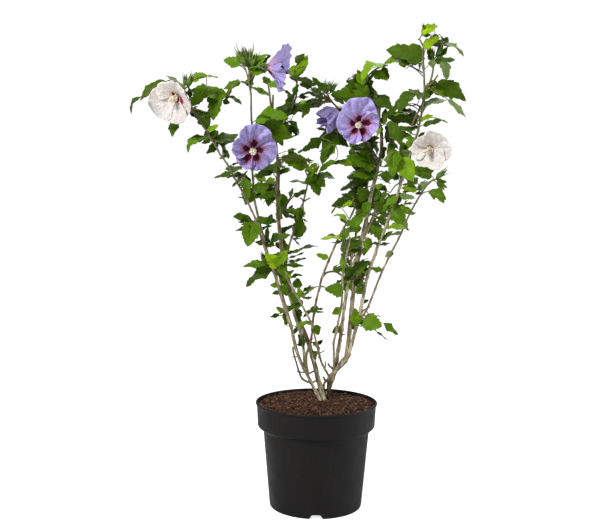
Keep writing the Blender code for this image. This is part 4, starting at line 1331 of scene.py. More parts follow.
def leaves_on_shoots(rng, lines, boxes, sizes, each, leaf_length):
    """Leaves that turn round each shoot by the golden angle, lean out and stay inside its mass: (shoot
    numbers, feet, bases, tips)."""
    count = len(lines) * each
    shoot = np.repeat(np.arange(len(lines)), each)
    place = np.tile(np.linspace(0.30, 1.0, each), len(lines))
    step = np.minimum((place * (SHOOT_STEPS - 1)).astype(int), SHOOT_STEPS - 2)
    blend = (place * (SHOOT_STEPS - 1) - step)[:, None]
    foot = lines[shoot, step] * (1 - blend) + lines[shoot, step + 1] * blend
    heading = unit(lines[shoot, step + 1] - lines[shoot, step])
    aside = unit(np.cross(heading, UP + 0.01))
    angle = np.tile(np.arange(each) * GOLDEN_ANGLE, len(lines)) + rng.uniform(0, math.tau, count)
    radial = aside * np.cos(angle)[:, None] + np.cross(heading, aside) * np.sin(angle)[:, None]
    way = unit(heading * 0.55 + radial + UP * rng.uniform(-0.35, 0.45, (count, 1)))
    base = foot + unit(way + UP * 0.5) * rng.uniform(*GROWN_STALK, (count, 1))
    length = leaf_length * sizes[shoot] * rng.uniform(0.55, 1.12, count) * (1.08 - 0.35 * place)
    low, high = boxes[shoot, 0], boxes[shoot, 1]
    base = np.clip(base, low + 0.002, high - 0.002)
    tip = np.clip(base + way * length[:, None], low - 0.003, high + 0.003)
    return shoot, foot, base, tip


def stays_hidden(lines, shoot, base, tip):
    """Which grown leaves stay within the outline of those that show and behind them, behind the blooms, and
    on shoots that don't pass across a gap."""
    out = [outside_sprays(base + (tip - base) * share) for share in (0.0, 0.35, 0.7, 1.0)]
    kept = np.linalg.norm(tip - base, axis=1) > SHORTEST_LEAF
    kept &= np.max([gap for gap, _ in out], axis=0) < OVERHANG
    kept &= base[:, 1] > np.max([depth for _, depth in out], axis=0) + BEHIND_LEAF
    along = lines.reshape(-1, 3)
    bare = np.minimum(outside_sprays(along)[0], beside_limbs(along) - LIMB_COVER).reshape(lines.shape[:2])
    kept &= ((bare > BARE_SHOOT).sum(1) == 0)[shoot]
    middle = in_view((base + tip) / 2)
    for bloom, (throat, _, _) in zip(BLOOMS, bloom_places()):
        apart = np.hypot(middle[:, 0] - bloom.x, middle[:, 1] - bloom.y)
        kept &= (apart > CLEAR_OF_BLOOM) | (base[:, 1] > throat[1] + BEHIND_BLOOM)
    return kept


@lru_cache(maxsize=None)
def grown_shoots(per_litre, leaves_each, leaf_length):
    """Short shoots that fill each mass from its limb: (lines of those with leaves, blades).

    Of the leaves that stay hidden, each mass keeps LEAVES_PER_LITRE at most, chosen by the seed.
    """
    rng = np.random.default_rng(SEED + 1)
    lines, boxes, sizes, owners = shoots_in_masses(rng, per_litre)
    shoot, foot, base, tip = leaves_on_shoots(rng, lines, boxes, sizes, leaves_each, leaf_length)
    order = rng.permutation(np.flatnonzero(stays_hidden(lines, shoot, base, tip)))
    mass = owners[shoot[order]]
    turn_in_mass = np.array([(mass[:place] == mass[place]).sum() for place in range(len(order))])
    most = LEAVES_PER_LITRE * LITRES * foliage_boxes()[1].prod(1)[mass]
    pick = np.sort(order[turn_in_mass < most])
    base, tip, foot = base[pick], tip[pick], foot[pick]
    count = len(pick)
    length = np.linalg.norm(tip - base, axis=1)
    way = unit(tip - base)
    flat = unit(UP - way * way[:, 2:3])
    level = np.cross(way, flat)
    roll = rng.normal(0, 0.5, count)[:, None]
    normal = flat * np.cos(roll) + level * np.sin(roll)
    across = np.cross(way, normal)
    kind = np.where(rng.random(count) < LOBED_SHARE, LOBED, PLAIN)
    ratio = np.where(kind == LOBED, rng.uniform(0.62, 0.82, count), rng.uniform(0.38, 0.5, count))
    tint = rng.choice(len(TINTS), count, p=TINT_SHARES)
    bow = level * (rng.uniform(-0.08, 0.08, count) * length)[:, None]
    arch = rng.uniform(0.03, 0.14, count) * length
    fold = rng.uniform(0.1, 0.45, count)
    tone = rng.random(count)
    blades = Blades(base, tip, ratio * length / 2, across, normal, bow, arch, fold, kind, tint, tone, foot)
    return lines[np.unique(shoot[pick])], blades


# Edge of a leaf from its base to its tip: how far along the midrib a side vein starts, how far along it
# ends, and how far out, as shares of the leaf's length and half width.
LOBED_EDGE = (
    (0.00, 0.00, 0.04), (0.03, 0.00, 0.32), (0.08, 0.07, 0.62), (0.12, 0.17, 0.82), (0.17, 0.20, 0.80),
    (0.23, 0.34, 1.00), (0.29, 0.41, 0.99), (0.34, 0.43, 0.82), (0.41, 0.56, 0.86), (0.47, 0.62, 0.76),
    (0.53, 0.63, 0.62), (0.60, 0.75, 0.62), (0.68, 0.78, 0.46), (0.75, 0.86, 0.40), (0.86, 0.93, 0.24),
    (1.00, 1.00, 0.03),
)
PLAIN_EDGE = (
    (0.00, 0.00, 0.04), (0.04, 0.03, 0.38), (0.10, 0.12, 0.72), (0.15, 0.23, 0.92), (0.20, 0.25, 0.84),
    (0.26, 0.39, 1.02), (0.33, 0.43, 0.94), (0.38, 0.46, 0.82), (0.44, 0.60, 0.92), (0.52, 0.64, 0.76),
    (0.57, 0.67, 0.64), (0.63, 0.79, 0.66), (0.71, 0.82, 0.46), (0.77, 0.89, 0.38), (0.88, 0.94, 0.22),
    (1.00, 1.00, 0.03),
)
LEAF_COLUMNS = 5
STALK_STEPS = 6


def blade_template(edge):
    """(across, along, midrib, out) of a leaf's grid. Its rows sweep forwards from midrib to edge."""
    edge = np.array(edge)
    out = np.linspace(-1, 1, LEAF_COLUMNS)
    across = edge[:, 2:3] * out
    along = edge[:, 0:1] + (edge[:, 1:2] - edge[:, 0:1]) * np.abs(out)
    return across, along, np.broadcast_to(edge[:, 0:1], across.shape), out


def blade_sheets(blades, seed):
    """Leaf blades: base + way x along + across x out, arched along the midrib, folded and waved across it."""
    rng = np.random.default_rng(seed)
    sheets = []
    for kind, edge in ((LOBED, LOBED_EDGE), (PLAIN, PLAIN_EDGE)):
        pick = np.flatnonzero(blades.kind == kind)
        if not len(pick):
            continue
        across, along, midrib, out = blade_template(edge)
        wide = (slice(None), None, None)
        base, way = blades.base[pick][wide], (blades.tip - blades.base)[pick][wide]
        side, normal = blades.across[pick][wide], blades.normal[pick][wide]
        half, arch, fold = (values[pick][wide] for values in (blades.half, blades.arch, blades.fold))
        hump = 4 * along * (1 - along)
        phase = rng.uniform(0, math.tau, (len(pick), 1, 1))
        lopsided = 1 + rng.uniform(-0.13, 0.13, (len(pick), 1, 1)) * np.sign(out)
        wave = 0.17 * np.sin(along * 11 + phase + out * 1.7) * np.abs(across)
        lift = arch * hump + half * (fold * np.abs(across) - 0.30 * across**2 * fold + wave)
        points = (
            base
            + way * along[None, ..., None]
            + side * (half * lopsided * across)[..., None]
            + normal * lift[..., None]
            + blades.bow[pick][wide] * hump[None, ..., None]
        )
        flat = np.stack(np.broadcast_arrays(0.5 + out / 2, midrib), -1)
        uv = np.broadcast_to(flat, (*points.shape[:3], 2))
        tone = np.repeat(blades.tone[pick], across.size)
        sheets.append(part(points, grid_faces(len(pick), len(edge), LEAF_COLUMNS), uv=uv, tone=tone))
    return sheets


def stalk_lines(blades):
    """Leaf stalks: from the foot to the blade's base, arched so that they meet the blade along its way."""
    reach = np.linalg.norm(blades.base - blades.foot, axis=1)[:, None]
    knee = blades.base - unit(blades.tip - blades.base) * reach * 0.45 + UP * reach * 0.05
    into = blades.base + unit(blades.tip - blades.base) * 0.003
    return arcs(blades.foot, knee, into, STALK_STEPS)


# ---- Bark -----------------------------------------------------------------------------------------

# A knob makes a limb thicker or thinner by `swell` round `at` metres along it, over `length`. It is paler
# there by `pale`.
Knob = namedtuple("Knob", "limb at swell length pale")
KNOBS = (
    Knob("trunk_right", 0.0, -0.0056, 0.020, -0.40),
    Knob("trunk_right", 0.046, 0.0026, 0.0085, 0.15),
    Knob("trunk_right", 0.067, -0.0008, 0.008, 0.1),
    Knob("trunk_right", 0.089, 0.0013, 0.007, 0.25),
    Knob("stem_middle", 0.006, 0.0005, 0.022, 0.85),
    Knob("stem_left_tall", 0.0, -0.0012, 0.012, 0.3),
    Knob("stem_left_tall", 0.040, 0.0002, 0.030, 0.2),
)
LIMB_SIDES = 14
LIMB_RING_STEP = 0.0026
NODE_STEP = 0.023
NODE_LENGTH = 0.0026
CROOK = 0.0007
RIDGE_ROUND = 0.01
RIDGE_STRETCH = 0.3
# Height at which bark starts to look young, and the height over which it does.
YOUNG_ABOVE = 0.44
YOUNG_OVER = 0.32


def limb_part(limb, number, relief):
    """A limb's bark: a tapering tube, kinked at each node, with a bump for each bud scar, and ridges."""
    rng = np.random.default_rng(SEED + 40 + number)
    coarse = limb_line(limb, np.linspace(0, 1, 60))
    length = np.linalg.norm(np.diff(coarse, axis=0), axis=1).sum()
    steps = round(length / LIMB_RING_STEP)
    fraction = np.linspace(0, 1, steps)
    line = limb_line(limb, fraction)
    travel = fraction * length
    radius = limb_radii(limb, fraction, length)
    pale = np.full(steps, limb.pale)
    for knob in KNOBS:
        if knob.limb == limb.name:
            near = np.exp(-(((travel - knob.at) / knob.length) ** 2))
            radius = radius + knob.swell * near
            pale = pale + knob.pale * near
    nodes = np.arange(NODE_STEP, length, NODE_STEP)
    nodes = nodes + rng.uniform(-0.006, 0.006, len(nodes))
    facing = np.arange(len(nodes)) * GOLDEN_ANGLE + rng.uniform(0, math.tau)
    kinks = rng.normal(0, CROOK, (len(nodes) + 2, 2))
    kinks[0] = 0
    stations = np.concatenate([[0], nodes, [length]])
    for axis in (0, 1):
        line[:, axis] += np.interp(travel, stations, kinks[:, axis]) * smooth(travel / 0.04)
    angle = np.arange(LIMB_SIDES) * math.tau / LIMB_SIDES
    near = np.exp(-(((travel[:, None] - nodes) / NODE_LENGTH) ** 2))
    round_scar = np.maximum(np.cos(angle[:, None] - facing), 0) ** 2
    scars = np.einsum("sn,an->sa", near, 0.08 + 0.40 * round_scar)
    round_x, round_y = np.cos(angle) * RIDGE_ROUND, np.sin(angle) * RIDGE_ROUND
    place = np.stack(np.broadcast_arrays(round_x, round_y, travel[:, None] * RIDGE_STRETCH), -1)
    ridges = ripple(place, 0.006, SEED + number) + 0.6 * ripple(place, 0.0028, SEED + 90 + number)
    radii = radius[:, None] * (1 + relief * ridges) + np.minimum(radius, 0.003)[:, None] * scars
    youth = smooth((line[:, 2] - YOUNG_ABOVE) / YOUNG_OVER) * (0.45 + 0.55 * fraction)
    return tubes(line[None], radii[None], LIMB_SIDES, np.clip(pale, 0, 1)[None], youth[None])


def twig_part(carrier, number):
    """A twig: a thin tube, thickest at its foot, with small swellings."""
    steps = np.linspace(0, 1, len(carrier.line))
    swelling = 0.16 * np.maximum(np.sin(steps * (9 + number % 5)), 0) ** 6
    radii = carrier.radius * (1.15 - 0.35 * steps + swelling)
    return tubes(carrier.line[None], radii[None], 8, 0.2 + 0.7 * carrier.pale)


# ---- Blooms ---------------------------------------------------------------------------------------

# Cone angle at the tip above which a bloom is open, and how far a petal spreads each side, in degrees, at its
# base and tip.
OPEN_ABOVE = 30
SPREADS = {"white": (46, 60), "blue": (44, 56), "closed": (50, 70)}
LAPS = {"white": 0.0014, "blue": 0.0032}
RIM_NOTCH = 0.016
COLUMN_LENGTH = 0.026
USUAL_PETAL = 0.056
PETAL_ROWS = 26
PETAL_COLUMNS = 23


def cup(lengths, cone, half_angle, rows, columns, rng, point=0.0, ruffle=0.0, lap=0.0, notch=0.0):
    """Petals or sepals round +Z, one for each length. The angle from the axis runs from one cone angle to the
    other, and radius and height are its sine and cosine summed along the petal. They spread by half_angle
    each side, narrow to a `point`, wave by `ruffle`, and lap over each other by `lap`."""
    out = np.linspace(-1, 1, columns)
    run = np.linspace(0, 1, rows)[:, None]
    fine = np.linspace(0, 1.2, 241)
    lean = np.radians(cone[0] + (cone[1] - cone[0]) * fine**0.9)
    step = fine[1] - fine[0]
    radius_table = np.concatenate([[0], np.cumsum((np.sin(lean[1:]) + np.sin(lean[:-1])) / 2) * step])
    height_table = np.concatenate([[0], np.cumsum((np.cos(lean[1:]) + np.cos(lean[:-1])) / 2) * step])
    grids = []
    for number, length in enumerate(lengths):
        phase = rng.uniform(0, math.tau, 6)
        lean_in = 1 + rng.uniform(-0.10, 0.10) * (ruffle > 0)
        rim = 1 - (1 - point) * 0.24 * np.abs(out) ** 2.4
        teeth = np.sin(out * 5 + phase[0]) + 0.7 * np.sin(out * 11 + phase[1]) + 0.4 * np.sin(out * 19)
        rim = rim + notch * teeth
        share = run * rim
        spread = np.radians(half_angle[0] + (half_angle[1] - half_angle[0]) * np.minimum(share, 1.0) ** 0.75)
        spread = spread * (1 - point * run**1.6)
        angle = number * math.tau / len(lengths) + out * spread
        radius = np.interp(share, fine, radius_table) * length * lean_in
        height = np.interp(share, fine, height_table) * length
        tilt = np.interp(share, fine, lean)
        wave = ruffle * run**2.0 * (
            np.sin(out * 4.2 + phase[2]) + 0.7 * np.sin(out * 9.5 + run * 5 + phase[3])
        )
        frill = ruffle * smooth(run * 2 - 0.9) * (
            0.55 * np.sin(out * 17 + run * 9 + phase[4]) + 0.35 * np.sin(out * 29 - run * 14 + phase[5])
        )
        crease = -0.45 * ruffle * np.exp(-((out * 5) ** 2)) * smooth(run * 2)
        offset = wave + frill + crease + lap * out * smooth(run * 3)
        radius = radius - np.cos(tilt) * offset
        height = height + np.sin(tilt) * offset
        grids.append(np.stack([radius * np.cos(angle), radius * np.sin(angle), height + 0 * angle], -1))
    return np.array(grids)


def faced(points, origin, facing, spin=0.0):
    """Turns points built round +Z to face `facing`, spun round it, and moves them to `origin`."""
    facing = unit(np.asarray(facing, float))
    guide = UP if abs(facing[2]) < 0.9 else np.array((0.0, -1.0, 0.0))
    right = unit(np.cross(guide, facing))
    top = np.cross(facing, right)
    angle = math.radians(spin)
    first = right * math.cos(angle) + top * math.sin(angle)
    second = np.cross(facing, first)
    return points @ np.stack([first, second, facing]) + origin


def cup_part(grids, origin, facing, spin, tone=0.5, shade=0.0):
    """The mesh of a cup that faces `facing`, with one tone and one painted shade for each petal or for all.
    The painted shade is stored in the number that bark uses for youth.
    """
    count, rows, columns, _ = grids.shape
    out = np.linspace(0, 1, columns)
    run = np.linspace(0, 1, rows)[:, None]
    uv = np.broadcast_to(np.stack(np.broadcast_arrays(out, run), -1), (count, rows, columns, 2))
    points = faced(grids, origin, facing, spin)
    tones = np.repeat(np.broadcast_to(tone, count), rows * columns)
    shades = np.repeat(np.broadcast_to(shade, count), rows * columns)
    return part(points, grid_faces(count, rows, columns)[..., ::-1], uv=uv, tone=tones, youth=shades)


def bead_part(centres, radii, sides=6, rings=4, tone=0.5):
    """Small round beads: each a turned ball of a few faces."""
    centres = np.asarray(centres, float).reshape(-1, 3)
    rise = np.linspace(-1, 1, rings + 2)[1:-1] * math.pi / 2
    steps = np.sin(rise)
    paths = centres[:, None] + np.concatenate([[-1], steps, [1]])[None, :, None] * UP * radii[:, None, None]
    widths = radii[:, None] * np.concatenate([[0.02], np.cos(rise), [0.02]])
    return tubes(paths, widths, sides, tone)


def calyx_parts(origin, facing, spin, rng, length=0.021, cone=(58, 4)):
    """Green cup behind a bloom: five pointed sepals, seven narrow bracts round them, and their short base."""
    base = origin - facing * 0.012
    sepals = cup([length] * 5, cone, (34, 38), 8, 7, rng, point=0.95)
    bracts = cup([length * 0.85] * 7, (72, 10), (11, 8), 6, 3, rng, point=0.8)
    bracts[..., :2] *= 1.12
    knob = np.stack([base - facing * 0.004, base, base + facing * 0.005])[None]
    return [
        cup_part(sepals, base, facing, spin),
        cup_part(bracts, base - facing * 0.002, facing, spin + 20, tone=0.9),
        tubes(knob, np.array([[0.0018, 0.0048, 0.0040]]), 12),
    ]


def column_parts(origin, facing, rng, length):
    """Stamens: (the column, its threads and the stigmas at its end, the beads on the threads)."""
    steps = np.linspace(0, 1, 8)
    line = origin + facing * (steps * length)[:, None]
    column = tubes(line[None], (0.0019 - 0.0007 * steps)[None], 10, 0.1)
    count = 64
    height = rng.uniform(0.30, 0.98, count)
    around = rng.uniform(0, math.tau, count)
    reach = rng.uniform(0.0034, 0.0074, count) * (1.1 - 0.45 * height)
    local = np.stack([reach * np.cos(around), reach * np.sin(around), height * length + 0.002], -1)
    root = np.stack([0 * reach, 0 * reach, height * length], -1)
    beads = faced(local, origin, facing)
    roots = faced(root, origin, facing)
    threads = tubes(np.stack([roots, (roots + beads) / 2, beads], 1), np.full((count, 3), 0.00028), 4, 0.1)
    fan = np.arange(5) * math.tau / 5
    tips = np.stack([0.0035 * np.cos(fan), 0.0035 * np.sin(fan), np.full(5, length + 0.0045)], -1)
    lobes = faced(tips, origin, facing)
    ends = np.repeat((origin + facing * length * 0.98)[None], 5, 0)
    stigmas = tubes(np.stack([ends, (ends + lobes) / 2, lobes], 1), np.full((5, 3), 0.0007), 5, 0.1)
    return [column, threads, stigmas, bead_part(lobes, np.full(5, 0.0013), tone=0.1)], bead_part(
        beads, rng.uniform(0.0011, 0.0017, count), tone=rng.uniform(0, 1, count))


def bud_parts(origin, facing, length, rng):
    """A bud: a pointed egg in five closed sepals, with long narrow bracts standing round it."""
    steps = np.linspace(0, 1, 9)
    egg = 0.19 * length * np.sin(math.pi * np.clip(steps, 0.02, 0.985) ** 0.8)
    line = origin + facing * (steps * length * 0.74)[:, None]
    sepals = cup([length * 0.98] * 5, (36, -24), (36, 37), 8, 5, rng, point=0.85)
    bracts = cup(length * rng.uniform(0.75, 1.25, 5), (34, 4), (13, 9), 7, 3, rng, point=0.8)
    spin = rng.uniform(0, 72)
    return [
        tubes(line[None], egg[None], 10, 0.3),
        cup_part(sepals, origin, facing, spin, tone=rng.uniform(0, 0.5)),
        cup_part(bracts, origin, facing, spin + 25, tone=rng.uniform(0.6, 1.0)),
    ]


# Buds on the grown shoots: about how many, and the least height of the shoot's tip.
GROWN_BUDS = 22
BUDS_ABOVE = 0.66

# ---- What a user may change -----------------------------------------------------------------------


def colour_property(name, description, default):
    return FloatVectorProperty(
        name=name, description=description, subtype="COLOR", size=3, min=0.0, max=1.0, default=default
    )


def length_property(name, description, default):
    return FloatProperty(
        name=name, description=description, subtype="DISTANCE", unit="LENGTH", min=0.0, default=default
    )


class HibiscusSizes(bpy.types.PropertyGroup):
    leaf_length: length_property("Leaf length", "Length of a full leaf grown by the branching rule", 0.044)
    stalk_radius: length_property("Stalk radius", "Radius of a leaf stalk", 0.0009)
    shoot_radius: length_property("Shoot radius", "Radius of a short leafy shoot at its foot", 0.0012)
    petal_thickness: length_property("Petal thickness", "Thickness of a petal", 0.0004)
    chip_length: length_property("Chip length", "Length of a usual bark chip in the compost", 0.0062)
    shoots_per_litre: FloatProperty(
        name="Shoots per litre", description="Shoots tried in each litre of foliage", default=75.0, min=0.0
    )
    leaves_each: IntProperty(
        name="Leaves on a shoot", description="Leaves that each short shoot carries", default=4, min=1
    )
    chips: IntProperty(name="Bark chips", description="Bark chips on the compost", default=5200, min=0)
    bark_relief: FloatProperty(
        name="Bark relief", description="Height of the bark's ridges as a share of the radius", default=0.06
    )


class HibiscusColours(bpy.types.PropertyGroup):
    # Painted shade and painted light: leaf_dark is the leaf colour darkened for old and shaded leaves, and
    # leaf_light is the leaf colour lightened for leaves in full light.
    leaf_dark: colour_property("Dark leaf", "Old leaves in the shade", (0.046, 0.092, 0.004))
    leaf_mid: colour_property("Middle leaf", "Most leaves", (0.072, 0.148, 0.004))
    leaf_light: colour_property("Light leaf", "Leaves in full light", (0.125, 0.230, 0.005))
    leaf_young: colour_property("Young leaf", "Yellow-green young leaves", (0.215, 0.350, 0.005))
    leaf_grey: colour_property("Leaf underside", "Grey-green undersides", (0.140, 0.200, 0.060))
    bark_brown: colour_property("Brown bark", "Bark of old stems", (0.138, 0.086, 0.042))
    bark_pale: colour_property("Pale bark", "Bark of pale stems", (0.525, 0.472, 0.318))
    young_bark: colour_property("Young bark", "Green bark near the tips", (0.085, 0.085, 0.036))
    stalk: colour_property("Stalk", "Leaf stalks and soft shoots", (0.160, 0.190, 0.060))
    petal_blue: colour_property("Blue petal", "Blue-violet petals", (0.370, 0.310, 0.630))
    petal_white: colour_property("White petal", "White petals", (0.660, 0.618, 0.575))
    petal_flush: colour_property("Petal flush", "Pink flush round the eye", (0.560, 0.215, 0.440))
    petal_eye: colour_property("Eye", "Dark red eye of a bloom", (0.085, 0.004, 0.018))
    stamen: colour_property("Stamens", "Cream stamens", (0.930, 0.840, 0.600))
    pot_black: colour_property("Pot", "Black moulded plastic", (0.0070, 0.0062, 0.0060))
    soil_dark: colour_property("Dark compost", "Wet peat", (0.024, 0.010, 0.006))
    soil_red: colour_property("Red compost", "Red-brown bark", (0.110, 0.045, 0.018))
    soil_pale: colour_property("Pale compost", "Dry bark edges", (0.225, 0.115, 0.052))


def sizes():
    """The panel's sizes."""
    return bpy.context.scene.hibiscus_sizes


def colours():
    """The panel's colours."""
    return bpy.context.scene.hibiscus_colours


def grown():
    """(shoot lines, blades) of the shoots that the branching rule grows."""
    return grown_shoots(sizes().shoots_per_litre, sizes().leaves_each, sizes().leaf_length)


# ---- Operators ------------------------------------------------------------------------------------


class HIBISCUS_OT_pot(bpy.types.Operator):
    """Turn the nursery pot, with its lip, raised floor and drainage notches"""

    bl_idname = "hibiscus.pot"
    bl_label = "Pot"

    def execute(self, context):
        make_piece("nursery_pot", [self.pot_part()], pot_surface(colours()), ["pot"])
        return {"FINISHED"}

    @staticmethod
    def rounded(corners, radius):
        """A profile with each corner replaced by a parabola that starts and ends `radius` from it."""
        corners = np.array(corners, float)
        before, here, after = corners[:-2], corners[1:-1], corners[2:]
        reach_in = np.minimum(radius, np.linalg.norm(before - here, axis=1) * 0.45)[:, None]
        reach_out = np.minimum(radius, np.linalg.norm(after - here, axis=1) * 0.45)[:, None]
        start = here + unit(before - here) * reach_in
        end = here + unit(after - here) * reach_out
        return np.concatenate([corners[:1], arcs(start, here, end, 4).reshape(-1, 2), corners[-1:]])

    def pot_part(self):
        """Half section of the pot carried round Z. Each notch lifts the foot ring to a flat-topped arch."""
        lip_foot = POT_HEIGHT - LIP_HEIGHT
        under_lip = lip_foot - LIP_CHAMFER
        slope = (WALL_TOP_RADIUS - WALL_FOOT_RADIUS) / under_lip
        ring_inner = WALL_FOOT_RADIUS - FOOT_RING_WIDTH
        inner_top = LIP_FOOT_RADIUS - WALL
        profile = self.rounded([
            (0, 0), (CENTRE_FOOT_RADIUS, 0), (CENTRE_FOOT_RADIUS + WALL, FLOOR_HEIGHT),
            (ring_inner - WALL, FLOOR_HEIGHT), (ring_inner, 0), (WALL_FOOT_RADIUS - 0.0005, 0),
            (WALL_FOOT_RADIUS + slope * 0.006, 0.006), (WALL_TOP_RADIUS, under_lip),
            (LIP_FOOT_RADIUS, lip_foot), (RIM_RADIUS - 0.0022, POT_HEIGHT - 0.0045),
            (RIM_RADIUS, POT_HEIGHT - 0.0035), (RIM_RADIUS, POT_HEIGHT), (RIM_RADIUS - 0.0040, POT_HEIGHT),
            (inner_top, lip_foot), (WALL_TOP_RADIUS - WALL, under_lip),
            (WALL_FOOT_RADIUS + slope * 0.012 - WALL, 0.012), (0, 0.012),
        ], 0.0022)

        def notched(grid):
            radius = np.hypot(grid[..., 0], grid[..., 1])
            angle = np.arctan2(grid[..., 1], grid[..., 0]) + math.pi / 2
            off = (angle + math.pi / NOTCHES) % (math.tau / NOTCHES) - math.pi / NOTCHES
            share = np.abs(WALL_FOOT_RADIUS * np.sin(off)) / NOTCH_HALF_WIDTH
            arch = NOTCH_HEIGHT * (1 - np.clip(share, 0, 1) ** 6)
            ring = (radius > ring_inner - 0.0035) & (share < 1)
            grid[..., 2] = np.where(ring, np.maximum(grid[..., 2], arch), grid[..., 2])
            return grid

        drop = np.diff(profile[:, 1], axis=0, append=0)
        pieces = np.maximum(1, np.ceil(np.abs(drop) / 0.002).astype(int))
        place = np.concatenate([index + np.arange(many) / many for index, many in enumerate(pieces[:-1])])
        place = np.append(place, len(profile) - 1)
        known = np.arange(len(profile))
        filled = np.stack([np.interp(place, known, profile[:, axis]) for axis in (0, 1)], -1)
        return turned(filled, 300, notched)


# Shares of dark, red and pale chips, each a slab with CHIP_SIDES sides.
CHIP_SHARES = (0.42, 0.46, 0.12)
CHIP_SIDES = 6


class HIBISCUS_OT_soil(bpy.types.Operator):
    """Fill the pot with bark compost: an uneven surface strewn with chips"""

    bl_idname = "hibiscus.soil"
    bl_label = "Compost"

    def execute(self, context):
        make_piece("bark_compost", [self.bed()], soil_surface(colours()), ["soil"])
        shades = (("dark", colours().soil_dark), ("red", colours().soil_red), ("pale", colours().soil_pale))
        chips = self.chips()
        for number, (shade, colour) in enumerate(shades):
            surface = plain_surface(f"bark_chip_{shade}", colour, scaled(colour, 0.55), 420.0, 0.9)
            make_piece(f"bark_chips_{shade}", [chips[number]], surface)
        return {"FINISHED"}

    @staticmethod
    def edge_radius():
        """How far the compost reaches, a little short of the part's own edge."""
        low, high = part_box("soil")
        return (high.x - low.x) / 2 - 0.0004

    @staticmethod
    def height(x, y):
        """Height of the bed: mounded to the middle, with two sizes of seeded unevenness."""
        radius = np.hypot(x, y)
        mound = SOIL_EDGE + (SOIL_TOP - SOIL_EDGE) * smooth((0.112 - radius) / 0.03)
        flat = np.stack([x, y, 0 * x], -1)
        return mound + 0.0016 * ripple(flat, 0.030, SEED + 5) + 0.0009 * ripple(flat, 0.009, SEED + 6) - 0.001

    def bed(self):
        """Turned bed whose top follows the height field, closed by a skirt and a flat base."""
        edge = self.edge_radius()
        radii = np.linspace(edge, 0, 70)[:-1]
        profile = [(0, SOIL_EDGE - 0.03), (edge - 0.004, SOIL_EDGE - 0.03), *((r, SOIL_TOP) for r in radii)]
        profile.append((0, SOIL_TOP - 0.001))

        def heaped(grid):
            top = grid[..., 2] > SOIL_EDGE
            grid[..., 2] = np.where(top, self.height(grid[..., 0], grid[..., 1]), grid[..., 2])
            return grid

        return turned(profile, 200, heaped)

    def chips(self):
        """Chips: uneven six-sided slabs, laid flat with a little tilt, dealt out in three shades."""
        rng = np.random.default_rng(SEED + 7)
        count = sizes().chips
        radius = (self.edge_radius() - 0.003) * np.sqrt(rng.random(count))
        turn = rng.uniform(0, math.tau, count)
        x, y = radius * np.cos(turn), radius * np.sin(turn)
        length = sizes().chip_length * rng.lognormal(-0.25, 0.45, count).clip(0.25, 1.7)
        width = length * rng.uniform(0.16, 0.60, count)
        size = np.stack([length, width, length * rng.uniform(0.08, 0.22, count)], -1)
        around = np.arange(CHIP_SIDES)
        ring = around * math.tau / CHIP_SIDES
        wobble = rng.uniform(0.7, 1.15, (count, 2, CHIP_SIDES))
        corners = np.stack([
            np.cos(ring) * wobble / 2,
            np.sin(ring) * wobble / 2,
            np.broadcast_to(np.array((-0.5, 0.5))[:, None], wobble.shape),
        ], -1) * size[:, None, None]
        normal = unit(UP + rng.normal(0, 0.34, (count, 3)))
        first = unit(np.cross(normal, rng.normal(size=(count, 3))))
        basis = np.stack([first, np.cross(normal, first), normal], 1)
        lying = self.height(x, y) + size[:, 2] * 0.3
        centre = np.stack([x, y, lying + rng.uniform(-0.0004, 0.0012, count)], -1)
        points = np.einsum("nlsk,nkj->nlsj", corners, basis) + centre[:, None, None]
        inwards = (self.edge_radius() - 0.0005) / np.hypot(points[..., 0], points[..., 1])
        points[..., :2] *= np.minimum(1, inwards)[..., None]
        shade = rng.choice(len(CHIP_SHARES), count, p=CHIP_SHARES)
        beside = (around + 1) % CHIP_SIDES
        sides = np.stack([around, beside, beside + CHIP_SIDES, around + CHIP_SIDES], -1)
        lids = np.array([(0, 3, 2, 1), (0, 5, 4, 3), (6, 7, 8, 9), (6, 9, 10, 11)])
        faces = np.concatenate([sides, lids])
        made = []
        for number in range(len(CHIP_SHARES)):
            chosen = points[shade == number]
            quads = faces[None] + (np.arange(len(chosen)) * 2 * CHIP_SIDES)[:, None, None]
            tone = np.repeat(rng.random(len(chosen)), 2 * CHIP_SIDES)
            made.append(part(chosen, quads, tone=tone))
        return made


class HIBISCUS_OT_stems(bpy.types.Operator):
    """Cover every limb in ridged bark with bud scars, and grow the bare twigs and stubs"""

    bl_idname = "hibiscus.stems"
    bl_label = "Stems"

    def execute(self, context):
        bark = bark_surface(colours())
        limbs = [limb_part(limb, number, sizes().bark_relief) for number, limb in enumerate(LIMBS)]
        make_piece("stems", limbs, bark, [limb.name for limb in LIMBS])
        twigs = [twig_part(each, number) for number, each in enumerate(carriers()[len(LIMBS):])]
        twig_bark = stalk_surface("twig_bark", colours().stalk, colours().bark_brown)
        make_piece("twigs", twigs, twig_bark)
        return {"FINISHED"}


